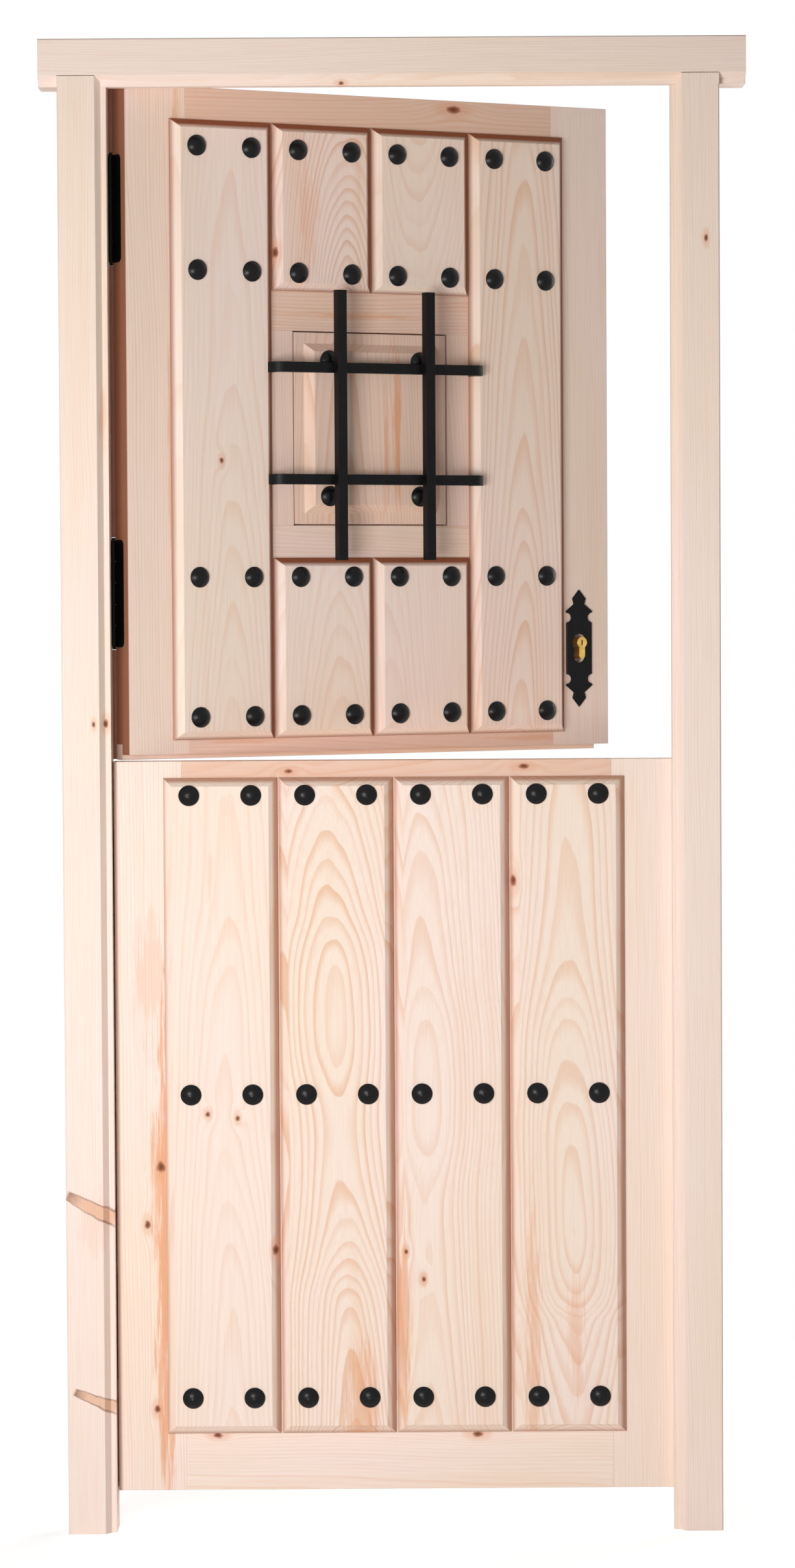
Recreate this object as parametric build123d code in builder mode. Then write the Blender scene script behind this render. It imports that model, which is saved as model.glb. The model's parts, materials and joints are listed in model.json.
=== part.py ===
"""A two-leaf stable door in its frame, in millimetres.

X runs across the doorway, Y from the street side to the room side and Z up. The origin is on the floor
line, in the middle of the doorway, at the frame's street face. The lower leaf is closed. The upper leaf is
modelled closed and turned about its hinge pins to the opening it has at rest.
"""

import os
from math import asin, cos, sin
from build123d import *

# Leaves
LEAF_WIDTH = 815.0
LEAVES_HEIGHT = 2030.0
LEAF_THICKNESS = 39.0
LEAF_FRONT = 31.0
LOWER_BOTTOM = 58.0
LOWER_TOP = 1115.0
MEETING_GAP = 1.5
LIP_DROP = 7.5
LIP_THICKNESS = 18.0
LIP_HEIGHT = 22.5
LIP_END_STEP = 12.5
REST_OPENING = 29.5

# Frame
FRAME_DEPTH = 70.0
JAMB_FACE = 53.5
MOULD_BEVEL = 8.0
MOULD_FLAT = 8.0
MOULD_DEPTH = 12.0
HEAD_FACE = 52.0
HINGE_GAP = 2.0
LOCK_GAP = 3.0
HEAD_GAP = 3.0
STOP_LAP = 11.0
HEAD_LAP = 8.0
STOP_REAR = 30.0
LEFT_HORN = 27.0
RIGHT_HORN = 38.0
JOINT_GAP = 0.8
ARRIS = 1.5
TENON_WIDTH = 30.0
TENON_DEPTH = 24.0
TENON_LENGTH = 40.0
FIXING_HEIGHTS = (600.0, 1620.0)
FIXING_RADIUS = 4.5
FIXING_Y = 50.0

# Stiles, rails and panels
STILE = 98.0
RAIL_TENON_LENGTH = 30.0
RAIL_TENON_THICKNESS = 13.0
TOP_RAIL = 95.0
BOTTOM_RAIL = 120.0
LOWER_TOP_RAIL = 90.0
LOWER_BOTTOM_RAIL = 130.0
WINDOW_RAIL = 80.0
BACK_THICKNESS = 28.0

# Planks and studs
PLANK_CENTRE = 403.0
PLANK_PITCH = 166.5
PLANK_WIDTH = 164.0
PLANK_THICKNESS = 15.0
PLANK_BEVEL = 12.0
UPPER_PLANK_FOOT = 1144.0
UPPER_PLANK_HEAD = 2041.0
SHORT_PLANK_LOWER_HEAD = 1408.0
SHORT_PLANK_UPPER_FOOT = 1798.0
LOWER_PLANK_FOOT = 141.0
LOWER_PLANK_HEAD = 1091.0
STUD_OFFSET = 44.5
STUD_RADIUS = 15.0
STUD_HEIGHT = 9.0
STUD_EDGE = 1.5
NAIL_RADIUS = 2.0
NAIL_LENGTH = 16.0
UPPER_STUD_ROWS = (1177.0, 1380.0, 1824.0, 2003.0)
LOWER_STUD_ROWS = (194.0, 634.0, 1066.0)

# Shutter
SHUTTER_CENTRE_Z = 1598.0
SHUTTER_OPENING = (261.0, 285.0)
SHUTTER_HINGE_GAP = 2.0
SHUTTER_FREE_GAP = 3.0
SHUTTER_THICKNESS = 28.0
SHUTTER_LIP = 8.0
SHUTTER_LIP_THICKNESS = 10.0
SHUTTER_LIP_GAP = 2.0
REBATE_FREE_ROOM = 3.0
FIELD_MARGIN = 16.0
FIELD_HEIGHT = 12.0
FIELD_BEVEL = 12.0
SHUTTER_STUD_OFFSET = (76.5, 99.5)

# Grille
BAR_WIDTH = 15.0
BAR_DEPTH = 12.5
BAR_STAND_OFF = 37.0
BAR_OFFSET = 74.5
BAR_BOTTOM = 1404.0
BAR_TOP = 1799.0
CROSSBAR_HEIGHTS = (1522.5, 1686.0)
CROSSBAR_REACH = 173.75
CROSSBAR_BEND = 15.0

# Butt hinges
HINGE_HEIGHT = 155.0
HINGE_WIDTH = 32.6
FLAP_THICKNESS = 2.5
FLAP_CORNER = 8.0
KNUCKLE_RADIUS = 6.0
KNUCKLE_COUNT = 5
KNUCKLE_ROOM = 0.4
KNUCKLE_END_GAP = 0.2
PLATE_STOP = 4.5
PIN_RADIUS = 3.5
PIN_ROOM = 0.05
PIN_CAP_RADIUS = 5.0
PIN_CAP_HEIGHT = 3.0
PIN_CAP_GAP = 0.3
PIN_STAND_OFF = 6.6
UPPER_HINGES = (1357.0, 1911.5)
LOWER_HINGES = (293.0, 939.0)
SCREW_HEAD = 4.2
SCREW_HEAD_DEPTH = 2.2
SCREW_SHANK = 2.0
SCREW_LENGTH = 26.0
SCREW_ROOM = 0.1
HINGE_SCREW_SPOTS = ((-60.0, 8.0), (-20.0, 15.0), (20.0, 15.0), (60.0, 8.0))

# Shutter hinges and button
SMALL_HINGE_HEIGHT = 50.0
SMALL_HINGE_WIDTH = 22.0
SMALL_FLAP = 2.0
SMALL_KNUCKLE = 4.0
SMALL_PIN = 2.0
SMALL_PIN_RISE = 4.2
SMALL_HINGE_OFFSET = 90.0
SMALL_SCREW_HEAD = 3.0
SMALL_SCREW_SHANK = 1.5
SMALL_SCREW_LENGTH = 14.0
BUTTON_LENGTH = 62.0
BUTTON_WIDTH = 18.0
BUTTON_THICKNESS = 6.0
BUTTON_OFFSET = 24.5

# Lock
PLATE_CENTRE = (763.0, 1270.0)
PLATE_THICKNESS = 3.0
PLATE_EDGE = 1.2
PLATE_BODY = 22.5
PLATE_BODY_TOP = 38.6
PLATE_SHOULDER = (23.7, 56.0)
PLATE_NECK = (9.5, 67.0)
PLATE_SPEAR = (11.8, 75.5)
PLATE_TIP = 89.0
NOTCH_CENTRE = (21.3, 46.6)
NOTCH_RADIUS = 7.0
KEYHOLE_RADIUS = 13.0
KEYHOLE_SLOT = 20.0
KEYHOLE_DROP = 30.5
KEYHOLE_SHIFT = -2.0
CYLINDER_SPOT = (765.0, 1278.7)
CYLINDER_PROUD = (4.0, 1.0)
CYLINDER_RADIUS = 8.5
CYLINDER_LOBE = 10.0
CYLINDER_DROP = 24.5
PLUG_RADIUS = 6.5
CAM_GAP = 9.0
CAM_WIDTH = 8.0
CAM_HUB = 8.3
CAM_REACH = 14.0
CAM_ROOM = 0.3
KEYWAY = (2.4, 8.0, 12.0)
CASE_BACK = 737.0
CASE_BOTTOM = 1228.0
CASE_TOP = 1358.0
CASE_THICKNESS = 15.0
CASE_WALL = 1.5
LOCK_Y = 50.5
FOREND_THICKNESS = 3.0
FOREND_WIDTH = 22.0
FOREND_BOTTOM = 1165.0
FOREND_TOP = 1395.0
BOLT_BOTTOM = 1299.0
BOLT_TOP = 1325.0
BOLT_THICKNESS = 11.0
BOLT_TAIL = 755.0
BOLT_ROOM = 0.3
STRIKE_BOTTOM = 1252.0
STRIKE_TOP = 1372.0
STRIKE_DEPTH = 23.0
STRIKE_ROOM = 1.0

# Barrel bolt on the lower leaf
SLIDE_Z = 1000.0
SLIDE_PLATE = (735.0, 810.0)
SLIDE_PLATE_HEIGHT = 40.0
SLIDE_PLATE_THICKNESS = 3.0
GUIDE_WIDTH = 12.0
GUIDE_HEIGHT = 20.0
GUIDE_DEPTH = 16.0
ROD_RADIUS = 6.0
ROD_AXIS_RISE = 12.0
ROD_TAIL = 700.0
ROD_TIP = 812.0
KNOB_SPOT = 755.0
KNOB_STEM = 4.5
KNOB_REACH = 26.0
KNOB_BALL = 7.0
KEEPER_START = 420.0
KEEPER_LENGTH = 44.0
KEEPER_ROOM = 0.5

# Places that follow from the sizes above
OPENING_HALF = (HINGE_GAP + LEAF_WIDTH - STOP_LAP) / 2
MOULD_WIDTH = MOULD_BEVEL + MOULD_FLAT
FRAME_HALF = OPENING_HALF + MOULD_WIDTH + JAMB_FACE
LEAF_LEFT = -OPENING_HALF + HINGE_GAP
LEAF_RIGHT = LEAF_LEFT + LEAF_WIDTH
LEAF_REAR = LEAF_FRONT + LEAF_THICKNESS
REBATE_WALL = LEAF_RIGHT + LOCK_GAP
UPPER_BOTTOM = LOWER_TOP + MEETING_GAP + LIP_DROP
UPPER_TOP = LOWER_BOTTOM + LEAVES_HEIGHT
HEAD_UNDERSIDE = UPPER_TOP - HEAD_LAP
HEAD_FACE_BOTTOM = HEAD_UNDERSIDE + MOULD_WIDTH
HEAD_TOP = HEAD_FACE_BOTTOM + HEAD_FACE
BACK_REAR = LEAF_FRONT + BACK_THICKNESS
PLANK_FRONT = LEAF_FRONT - PLANK_THICKNESS
PIN_X = LEAF_LEFT - HINGE_GAP / 2
PIN_Y = LEAF_REAR + PIN_STAND_OFF
PIN_AXIS = Axis((PIN_X, PIN_Y, 0), (0, 0, 1))
WINDOW_LEFT = PLANK_CENTRE - SHUTTER_OPENING[0] / 2
WINDOW_RIGHT = PLANK_CENTRE + SHUTTER_OPENING[0] / 2
WINDOW_BOTTOM = SHUTTER_CENTRE_Z - SHUTTER_OPENING[1] / 2
WINDOW_TOP = SHUTTER_CENTRE_Z + SHUTTER_OPENING[1] / 2
SHUTTER_LEFT = WINDOW_LEFT + SHUTTER_HINGE_GAP
SHUTTER_RIGHT = WINDOW_RIGHT - SHUTTER_FREE_GAP
SHUTTER_BOTTOM = WINDOW_BOTTOM + SHUTTER_HINGE_GAP
SHUTTER_TOP = WINDOW_TOP - SHUTTER_HINGE_GAP
LIP_FRONT = BACK_REAR - SHUTTER_LIP_THICKNESS
SMALL_PIN_A = SHUTTER_LEFT - SHUTTER_LIP - SHUTTER_LIP_GAP / 2
SMALL_PIN_Y = BACK_REAR + SMALL_PIN_RISE
PLANK_CENTRES = [PLANK_CENTRE + PLANK_PITCH * (i - 1.5) for i in range(4)]

os.makedirs("parts", exist_ok=True)


def write(piece, name, upper=False):
    """Puts a piece of the upper leaf at its opening at rest, then labels the piece and writes its file."""
    placed = piece.rotate(PIN_AXIS, REST_OPENING) if upper else piece
    placed.label = name
    export_step(placed, f"parts/{name}.step")


def block(low, high):
    """A squared timber or plate between two opposite corners."""
    with BuildPart() as piece:
        with BuildSketch(Plane.XY.offset(low[2])):
            with Locations(((low[0] + high[0]) / 2, (low[1] + high[1]) / 2)):
                Rectangle(high[0] - low[0], high[1] - low[1])
        extrude(amount=high[2] - low[2])
    return piece.part


def leaf_block(across, depth, heights):
    """A block on a leaf, with its ends across the leaf counted from the hinge edge."""
    low = (LEAF_LEFT + across[0], depth[0], heights[0])
    return block(low, (LEAF_LEFT + across[1], depth[1], heights[1]))


def rod(start, end, radius):
    """A plain round bar from one point to another."""
    start, end = Vector(*start), Vector(*end)
    with BuildPart() as piece:
        with BuildSketch(Plane(origin=start, z_dir=end - start)):
            Circle(radius)
        extrude(amount=(end - start).length)
    return piece.part


def joined(pieces):
    """Several touching or separate solids as one part."""
    with BuildPart() as whole:
        for piece in pieces:
            add(piece)
    return whole.part


def cut(piece, tools):
    """A piece with the given solids taken out of it."""
    with BuildPart() as result:
        add(piece)
        for tool in tools:
            add(tool, mode=Mode.SUBTRACT)
    return result.part


def screw(head, direction, head_radius, shank_radius, length):
    """A countersunk wood screw. Its flat head ends at the given point and its shank runs along direction."""
    upright = Vector(0, 0, 1)
    with BuildPart() as piece:
        with BuildSketch(Plane(origin=head, x_dir=upright, z_dir=upright.cross(Vector(*direction)))):
            with BuildLine():
                Polyline(
                    (0, 0),
                    (head_radius, 0),
                    (shank_radius, SCREW_HEAD_DEPTH),
                    (shank_radius, length - 2 * shank_radius),
                    (0, length),
                    close=True,
                )
            make_face()
        revolve(axis=Axis(head, direction))
    return piece.part


def hinge_plate(side, middle, room=0.0):
    """The let-in plate of a flap, rounded at its far corners. Side is -1 on the jamb and 1 on the leaf."""
    near = PIN_X + side * HINGE_GAP / 2
    far = near + side * FLAP_THICKNESS
    low = (min(near, far), PIN_Y - HINGE_WIDTH - room, middle - HINGE_HEIGHT / 2 - room)
    high = (max(near, far), PIN_Y - PLATE_STOP, middle + HINGE_HEIGHT / 2 + room)
    with BuildPart() as piece:
        add(block(low, high))
        fillet(piece.edges().filter_by(Axis.X).group_by(Axis.Y)[0], FLAP_CORNER)
    return piece.part


def hinge_screw_heads(side, middle):
    """Where the screws of one flap have their heads."""
    face = PIN_X + side * HINGE_GAP / 2
    return [(face, PIN_Y - HINGE_WIDTH + inset, middle + rise) for rise, inset in HINGE_SCREW_SPOTS]


def large_screws(heads, direction, room=0.0):
    """The large screws with their heads at the given points, or the holes for them."""
    return [screw(head, direction, SCREW_HEAD + room, SCREW_SHANK + room, SCREW_LENGTH) for head in heads]


def hinge_screws(side, middles, room=0.0):
    """The screws of the flaps on one side, or the holes for them."""
    heads = [head for middle in middles for head in hinge_screw_heads(side, middle)]
    return large_screws(heads, (side, 0, 0), room)


def hinge_flap(side, middle):
    """One flap of a butt hinge, with its own knuckles and room for those of the other flap."""
    step = HINGE_HEIGHT / KNUCKLE_COUNT
    bottom = middle - HINGE_HEIGHT / 2
    with BuildPart() as piece:
        add(hinge_plate(side, middle))
        for index in range(KNUCKLE_COUNT):
            low, high = bottom + index * step, bottom + (index + 1) * step
            own = (index % 2 == 0) == (side < 0)
            if own:
                start, end = low + KNUCKLE_END_GAP, high - KNUCKLE_END_GAP
                add(rod((PIN_X, PIN_Y, start), (PIN_X, PIN_Y, end), KNUCKLE_RADIUS))
            else:
                start, end = low - KNUCKLE_END_GAP, high + KNUCKLE_END_GAP
                hole = rod((PIN_X, PIN_Y, start), (PIN_X, PIN_Y, end), KNUCKLE_RADIUS + KNUCKLE_ROOM)
                add(hole, mode=Mode.SUBTRACT)
        bore_start, bore_end = (PIN_X, PIN_Y, bottom - 1), (PIN_X, PIN_Y, bottom + HINGE_HEIGHT + 1)
        add(rod(bore_start, bore_end, PIN_RADIUS + PIN_ROOM), mode=Mode.SUBTRACT)
        for tool in hinge_screws(side, [middle], SCREW_ROOM):
            add(tool, mode=Mode.SUBTRACT)
    return piece.part


def hinge_pin(middle):
    """A hinge pin with a cap on each end."""
    bottom, top = middle - HINGE_HEIGHT / 2, middle + HINGE_HEIGHT / 2
    reach = PIN_CAP_GAP + PIN_CAP_HEIGHT
    with BuildPart() as piece:
        add(rod((PIN_X, PIN_Y, bottom - reach), (PIN_X, PIN_Y, top + reach), PIN_RADIUS))
        for start in (bottom - reach, top + PIN_CAP_GAP):
            add(rod((PIN_X, PIN_Y, start), (PIN_X, PIN_Y, start + PIN_CAP_HEIGHT), PIN_CAP_RADIUS))
    return piece.part


def jamb_tongue(side):
    """The front layer of a jamb beside the head's moulding, mitred with it."""
    outer, arris = side * FRAME_HALF, side * (OPENING_HALF + MOULD_WIDTH)
    inner = side * (OPENING_HALF + MOULD_FLAT)
    with BuildPart() as piece:
        with BuildSketch(Plane.XY.offset(HEAD_UNDERSIDE)):
            with BuildLine():
                Polyline((outer, 0), (arris, 0), (inner, MOULD_DEPTH), (outer, MOULD_DEPTH), close=True)
            make_face()
        extrude(amount=MOULD_WIDTH)
        mitre = Plane(origin=(arris, 0, HEAD_FACE_BOTTOM), z_dir=(-side, 0, 1))
        split(bisect_by=mitre, keep=Keep.BOTTOM)
    return piece.part


def jamb_profile(side):
    """The section of a jamb: face, bevel, flat and reveal, with the leaf's rebate on the lock side."""
    outer, arris = FRAME_HALF, OPENING_HALF + MOULD_WIDTH
    points = [
        (outer - ARRIS, 0),
        (arris, 0),
        (OPENING_HALF + MOULD_FLAT, MOULD_DEPTH),
        (OPENING_HALF, MOULD_DEPTH),
    ]
    if side > 0:
        points += [(OPENING_HALF, STOP_REAR), (REBATE_WALL, STOP_REAR), (REBATE_WALL, FRAME_DEPTH)]
    else:
        points += [(OPENING_HALF, FRAME_DEPTH)]
    points += [(outer - ARRIS, FRAME_DEPTH), (outer, FRAME_DEPTH - ARRIS), (outer, ARRIS)]
    return [(side * x, y) for x, y in points]


def jamb_tenon(side):
    """The tenon on the top of a jamb."""
    middle = side * (FRAME_HALF + OPENING_HALF) / 2 + side * MOULD_FLAT
    half = TENON_WIDTH / 2
    front = (FRAME_DEPTH - TENON_DEPTH) / 2
    low = (middle - half, front, HEAD_UNDERSIDE)
    return block(low, (middle + half, front + TENON_DEPTH, HEAD_UNDERSIDE + TENON_LENGTH))


def jamb(side):
    """A jamb with its tongue, tenon and two wall-fixing holes."""
    with BuildPart() as piece:
        with BuildSketch():
            with BuildLine():
                Polyline(*jamb_profile(side), close=True)
            make_face()
        extrude(amount=HEAD_UNDERSIDE)
        add(jamb_tongue(side))
        trim = block((-FRAME_HALF - 1, -1, HEAD_FACE_BOTTOM - JOINT_GAP), (FRAME_HALF + 1, MOULD_DEPTH + 1,
                     HEAD_FACE_BOTTOM + 1))
        add(trim, mode=Mode.SUBTRACT)
        add(jamb_tenon(side))
        for height in FIXING_HEIGHTS:
            start = (side * (OPENING_HALF - 1), FIXING_Y, height)
            hole = rod(start, (side * (FRAME_HALF + 1), FIXING_Y, height), FIXING_RADIUS)
            add(hole, mode=Mode.SUBTRACT)
    return piece.part


def build_frame():
    """Both jambs, the head with its horns and what is fixed to them."""
    left_x, right_x = -FRAME_HALF - LEFT_HORN, FRAME_HALF + RIGHT_HORN
    with BuildPart() as head:
        with BuildSketch(Plane.YZ.offset(left_x)):
            with BuildLine():
                Polyline(
                    (0, HEAD_FACE_BOTTOM),
                    (MOULD_DEPTH, HEAD_FACE_BOTTOM - MOULD_BEVEL),
                    (MOULD_DEPTH, HEAD_UNDERSIDE),
                    (FRAME_DEPTH, HEAD_UNDERSIDE),
                    (FRAME_DEPTH, HEAD_TOP - ARRIS),
                    (FRAME_DEPTH - ARRIS, HEAD_TOP),
                    (ARRIS, HEAD_TOP),
                    (0, HEAD_TOP - ARRIS),
                    close=True,
                )
            make_face()
        extrude(amount=right_x - left_x)
        rebate_top = UPPER_TOP + HEAD_GAP
        rebate_low = (-OPENING_HALF, STOP_REAR, HEAD_UNDERSIDE - 1)
        add(block(rebate_low, (REBATE_WALL, FRAME_DEPTH + 1, rebate_top)), mode=Mode.SUBTRACT)
        for side in (-1, 1):
            add(jamb_tongue(side), mode=Mode.SUBTRACT)
            add(jamb_tenon(side), mode=Mode.SUBTRACT)
    write(head.part, "head")

    middles = UPPER_HINGES + LOWER_HINGES
    pockets = [hinge_plate(-1, middle) for middle in middles]
    write(cut(jamb(-1), pockets), "left_jamb")
    write(joined([hinge_flap(-1, middle) for middle in middles]), "jamb_hinge_flaps")
    write(joined([hinge_pin(middle) for middle in middles]), "hinge_pins")

    strike_low = (REBATE_WALL, LOCK_Y - FOREND_WIDTH / 2, STRIKE_BOTTOM)
    strike_high = (REBATE_WALL + FOREND_THICKNESS, LOCK_Y + FOREND_WIDTH / 2, STRIKE_TOP)
    strike_hole = block(
        (REBATE_WALL - 1, LOCK_Y - BOLT_THICKNESS / 2 - STRIKE_ROOM, BOLT_BOTTOM - STRIKE_ROOM),
        (REBATE_WALL + STRIKE_DEPTH, LOCK_Y + BOLT_THICKNESS / 2 + STRIKE_ROOM, BOLT_TOP + STRIKE_ROOM),
    )
    strike_plate = block(strike_low, strike_high)
    write(cut(jamb(1), [strike_plate, strike_hole]), "right_jamb")
    strike_heads = [(REBATE_WALL, LOCK_Y, z) for z in (STRIKE_BOTTOM + 12, STRIKE_TOP - 12)]
    strike_holes = large_screws(strike_heads, (1, 0, 0), SCREW_ROOM)
    write(cut(strike_plate, [strike_hole, *strike_holes]), "strike_plate")

    keeper_end = KEEPER_START + KEEPER_LENGTH
    plate_rear = FRAME_DEPTH + SLIDE_PLATE_THICKNESS
    rod_y = FRAME_DEPTH + ROD_AXIS_RISE
    keeper_heads = [(keeper_end - 8, plate_rear, SLIDE_Z + rise) for rise in (-12, 12)]
    with BuildPart() as keeper:
        half = SLIDE_PLATE_HEIGHT / 2
        add(block((KEEPER_START, FRAME_DEPTH, SLIDE_Z - half), (keeper_end, plate_rear, SLIDE_Z + half)))
        low = (KEEPER_START, FRAME_DEPTH, SLIDE_Z - GUIDE_HEIGHT / 2)
        high = (KEEPER_START + KEEPER_LENGTH / 2, plate_rear + GUIDE_DEPTH, SLIDE_Z + GUIDE_HEIGHT / 2)
        add(block(low, high))
        bore_end = (keeper_end, rod_y, SLIDE_Z)
        bore = rod((KEEPER_START - 1, rod_y, SLIDE_Z), bore_end, ROD_RADIUS + KEEPER_ROOM)
        add(bore, mode=Mode.SUBTRACT)
        for hole in large_screws(keeper_heads, (0, -1, 0), SCREW_ROOM):
            add(hole, mode=Mode.SUBTRACT)
    write(keeper.part, "bolt_keeper")

    screws = hinge_screws(-1, middles)
    screws += large_screws(strike_heads, (1, 0, 0))
    screws += large_screws(keeper_heads, (0, -1, 0))
    write(joined(screws), "frame_screws")


def rail(bottom, top, thickness=LEAF_THICKNESS):
    """A rail between the stiles, with a tenon on each end."""
    body = leaf_block((STILE, LEAF_WIDTH - STILE), (LEAF_FRONT, LEAF_FRONT + thickness), (bottom, top))
    return joined([body, rail_tenons(bottom, top)])


def rail_tenons(bottom, top):
    """The two tenons of a rail as one slip that runs through it."""
    front = LEAF_FRONT + (BACK_THICKNESS - RAIL_TENON_THICKNESS) / 2
    across = (STILE - RAIL_TENON_LENGTH, LEAF_WIDTH - STILE + RAIL_TENON_LENGTH)
    inset = (top - bottom) / 6
    return leaf_block(across, (front, front + RAIL_TENON_THICKNESS), (bottom + inset, top - inset))


def stiles(bottom, top, rails):
    """The hinge stile and the lock stile, mortised for the given rails."""
    depth = (LEAF_FRONT, LEAF_REAR)
    mortises = [rail_tenons(low, high) for low, high in rails]
    spans = ((0, STILE), (LEAF_WIDTH - STILE, LEAF_WIDTH))
    return [cut(leaf_block(span, depth, (bottom, top)), mortises) for span in spans]


def plank(index, bottom, top):
    """A vertical plank laid on the leaf, bevelled on its four front edges."""
    left = PLANK_CENTRES[index] - PLANK_WIDTH / 2
    body = leaf_block((left, left + PLANK_WIDTH), (PLANK_FRONT, LEAF_FRONT), (bottom, top))
    with BuildPart() as piece:
        add(body)
        chamfer(piece.faces().sort_by(Axis.Y)[0].edges(), PLANK_BEVEL)
    return piece.part


def stud(across, front, height):
    """A domed nail: a shallow cap with a thin upright edge, and its shank."""
    centre = (LEAF_LEFT + across, front, height)
    rise = STUD_HEIGHT - STUD_EDGE
    dome = (STUD_RADIUS**2 + rise**2) / (2 * rise)
    half = asin(STUD_RADIUS / dome) / 2
    halfway = (dome * sin(half), dome * (1 - cos(half)) - STUD_HEIGHT)
    with BuildPart() as piece:
        with BuildSketch(Plane(origin=centre, x_dir=(1, 0, 0), z_dir=(0, 0, 1))):
            with BuildLine():
                Polyline(
                    (0, -STUD_HEIGHT),
                    (0, NAIL_LENGTH),
                    (NAIL_RADIUS, NAIL_LENGTH - 3),
                    (NAIL_RADIUS, 0),
                    (STUD_RADIUS, 0),
                    (STUD_RADIUS, -STUD_EDGE),
                )
                ThreePointArc((STUD_RADIUS, -STUD_EDGE), halfway, (0, -STUD_HEIGHT))
            make_face()
        revolve(axis=Axis(centre, (0, 1, 0)))
    return piece.part


def plank_studs(rows):
    """Two studs on each plank in every row."""
    acrosses = [centre + side * STUD_OFFSET for centre in PLANK_CENTRES for side in (-1, 1)]
    return joined([stud(across, PLANK_FRONT, z) for z in rows for across in acrosses])


def keyhole(centre, radius, slot, drop, depth):
    """A profile-cylinder shape: a circle with a lobe below it, run through the given depths."""
    origin = (LEAF_LEFT + centre[0], depth[0], centre[1])
    with BuildPart() as piece:
        with BuildSketch(Plane(origin=origin, x_dir=(1, 0, 0), z_dir=(0, -1, 0))):
            Circle(radius)
            with Locations((0, (slot / 2 - drop) / 2)):
                Rectangle(slot, drop - slot / 2)
            with Locations((0, slot / 2 - drop)):
                Circle(slot / 2)
        extrude(amount=depth[0] - depth[1])
    return piece.part


def keyhole_plate(faces, hole):
    """A forged plate with spear ends, shoulders and round notches. Faces gives its front and rear depths."""
    corners = [
        (PLATE_BODY, 0),
        (PLATE_BODY, PLATE_BODY_TOP),
        (PLATE_BODY - 1.5, NOTCH_CENTRE[1] - NOTCH_RADIUS),
        (PLATE_BODY - 1.5, NOTCH_CENTRE[1] + NOTCH_RADIUS - 1),
        PLATE_SHOULDER,
        PLATE_NECK,
        PLATE_SPEAR,
        (0, PLATE_TIP),
    ]
    ring = corners + [(-x, z) for x, z in reversed(corners[:-1])]
    lower = [(x, -z) for x, z in reversed(ring[1:-1])]
    origin = (LEAF_LEFT + PLATE_CENTRE[0], faces[1], PLATE_CENTRE[1])
    with BuildPart() as piece:
        with BuildSketch(Plane(origin=origin, x_dir=(1, 0, 0), z_dir=(0, -1, 0))):
            with BuildLine():
                Polyline(*ring, *lower, close=True)
            make_face()
        extrude(amount=faces[1] - faces[0])
        shown = piece.faces().filter_by(Axis.Y).sort_by(Axis.Y)[0 if faces[2] else -1]
        chamfer(shown.edges(), PLATE_EDGE)
        for side in (-1, 1):
            for end in (-1, 1):
                x = LEAF_LEFT + PLATE_CENTRE[0] + side * NOTCH_CENTRE[0]
                z = PLATE_CENTRE[1] + end * NOTCH_CENTRE[1]
                add(rod((x, faces[0] - 1, z), (x, faces[1] + 1, z), NOTCH_RADIUS), mode=Mode.SUBTRACT)
        add(hole, mode=Mode.SUBTRACT)
    return piece.part


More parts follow.
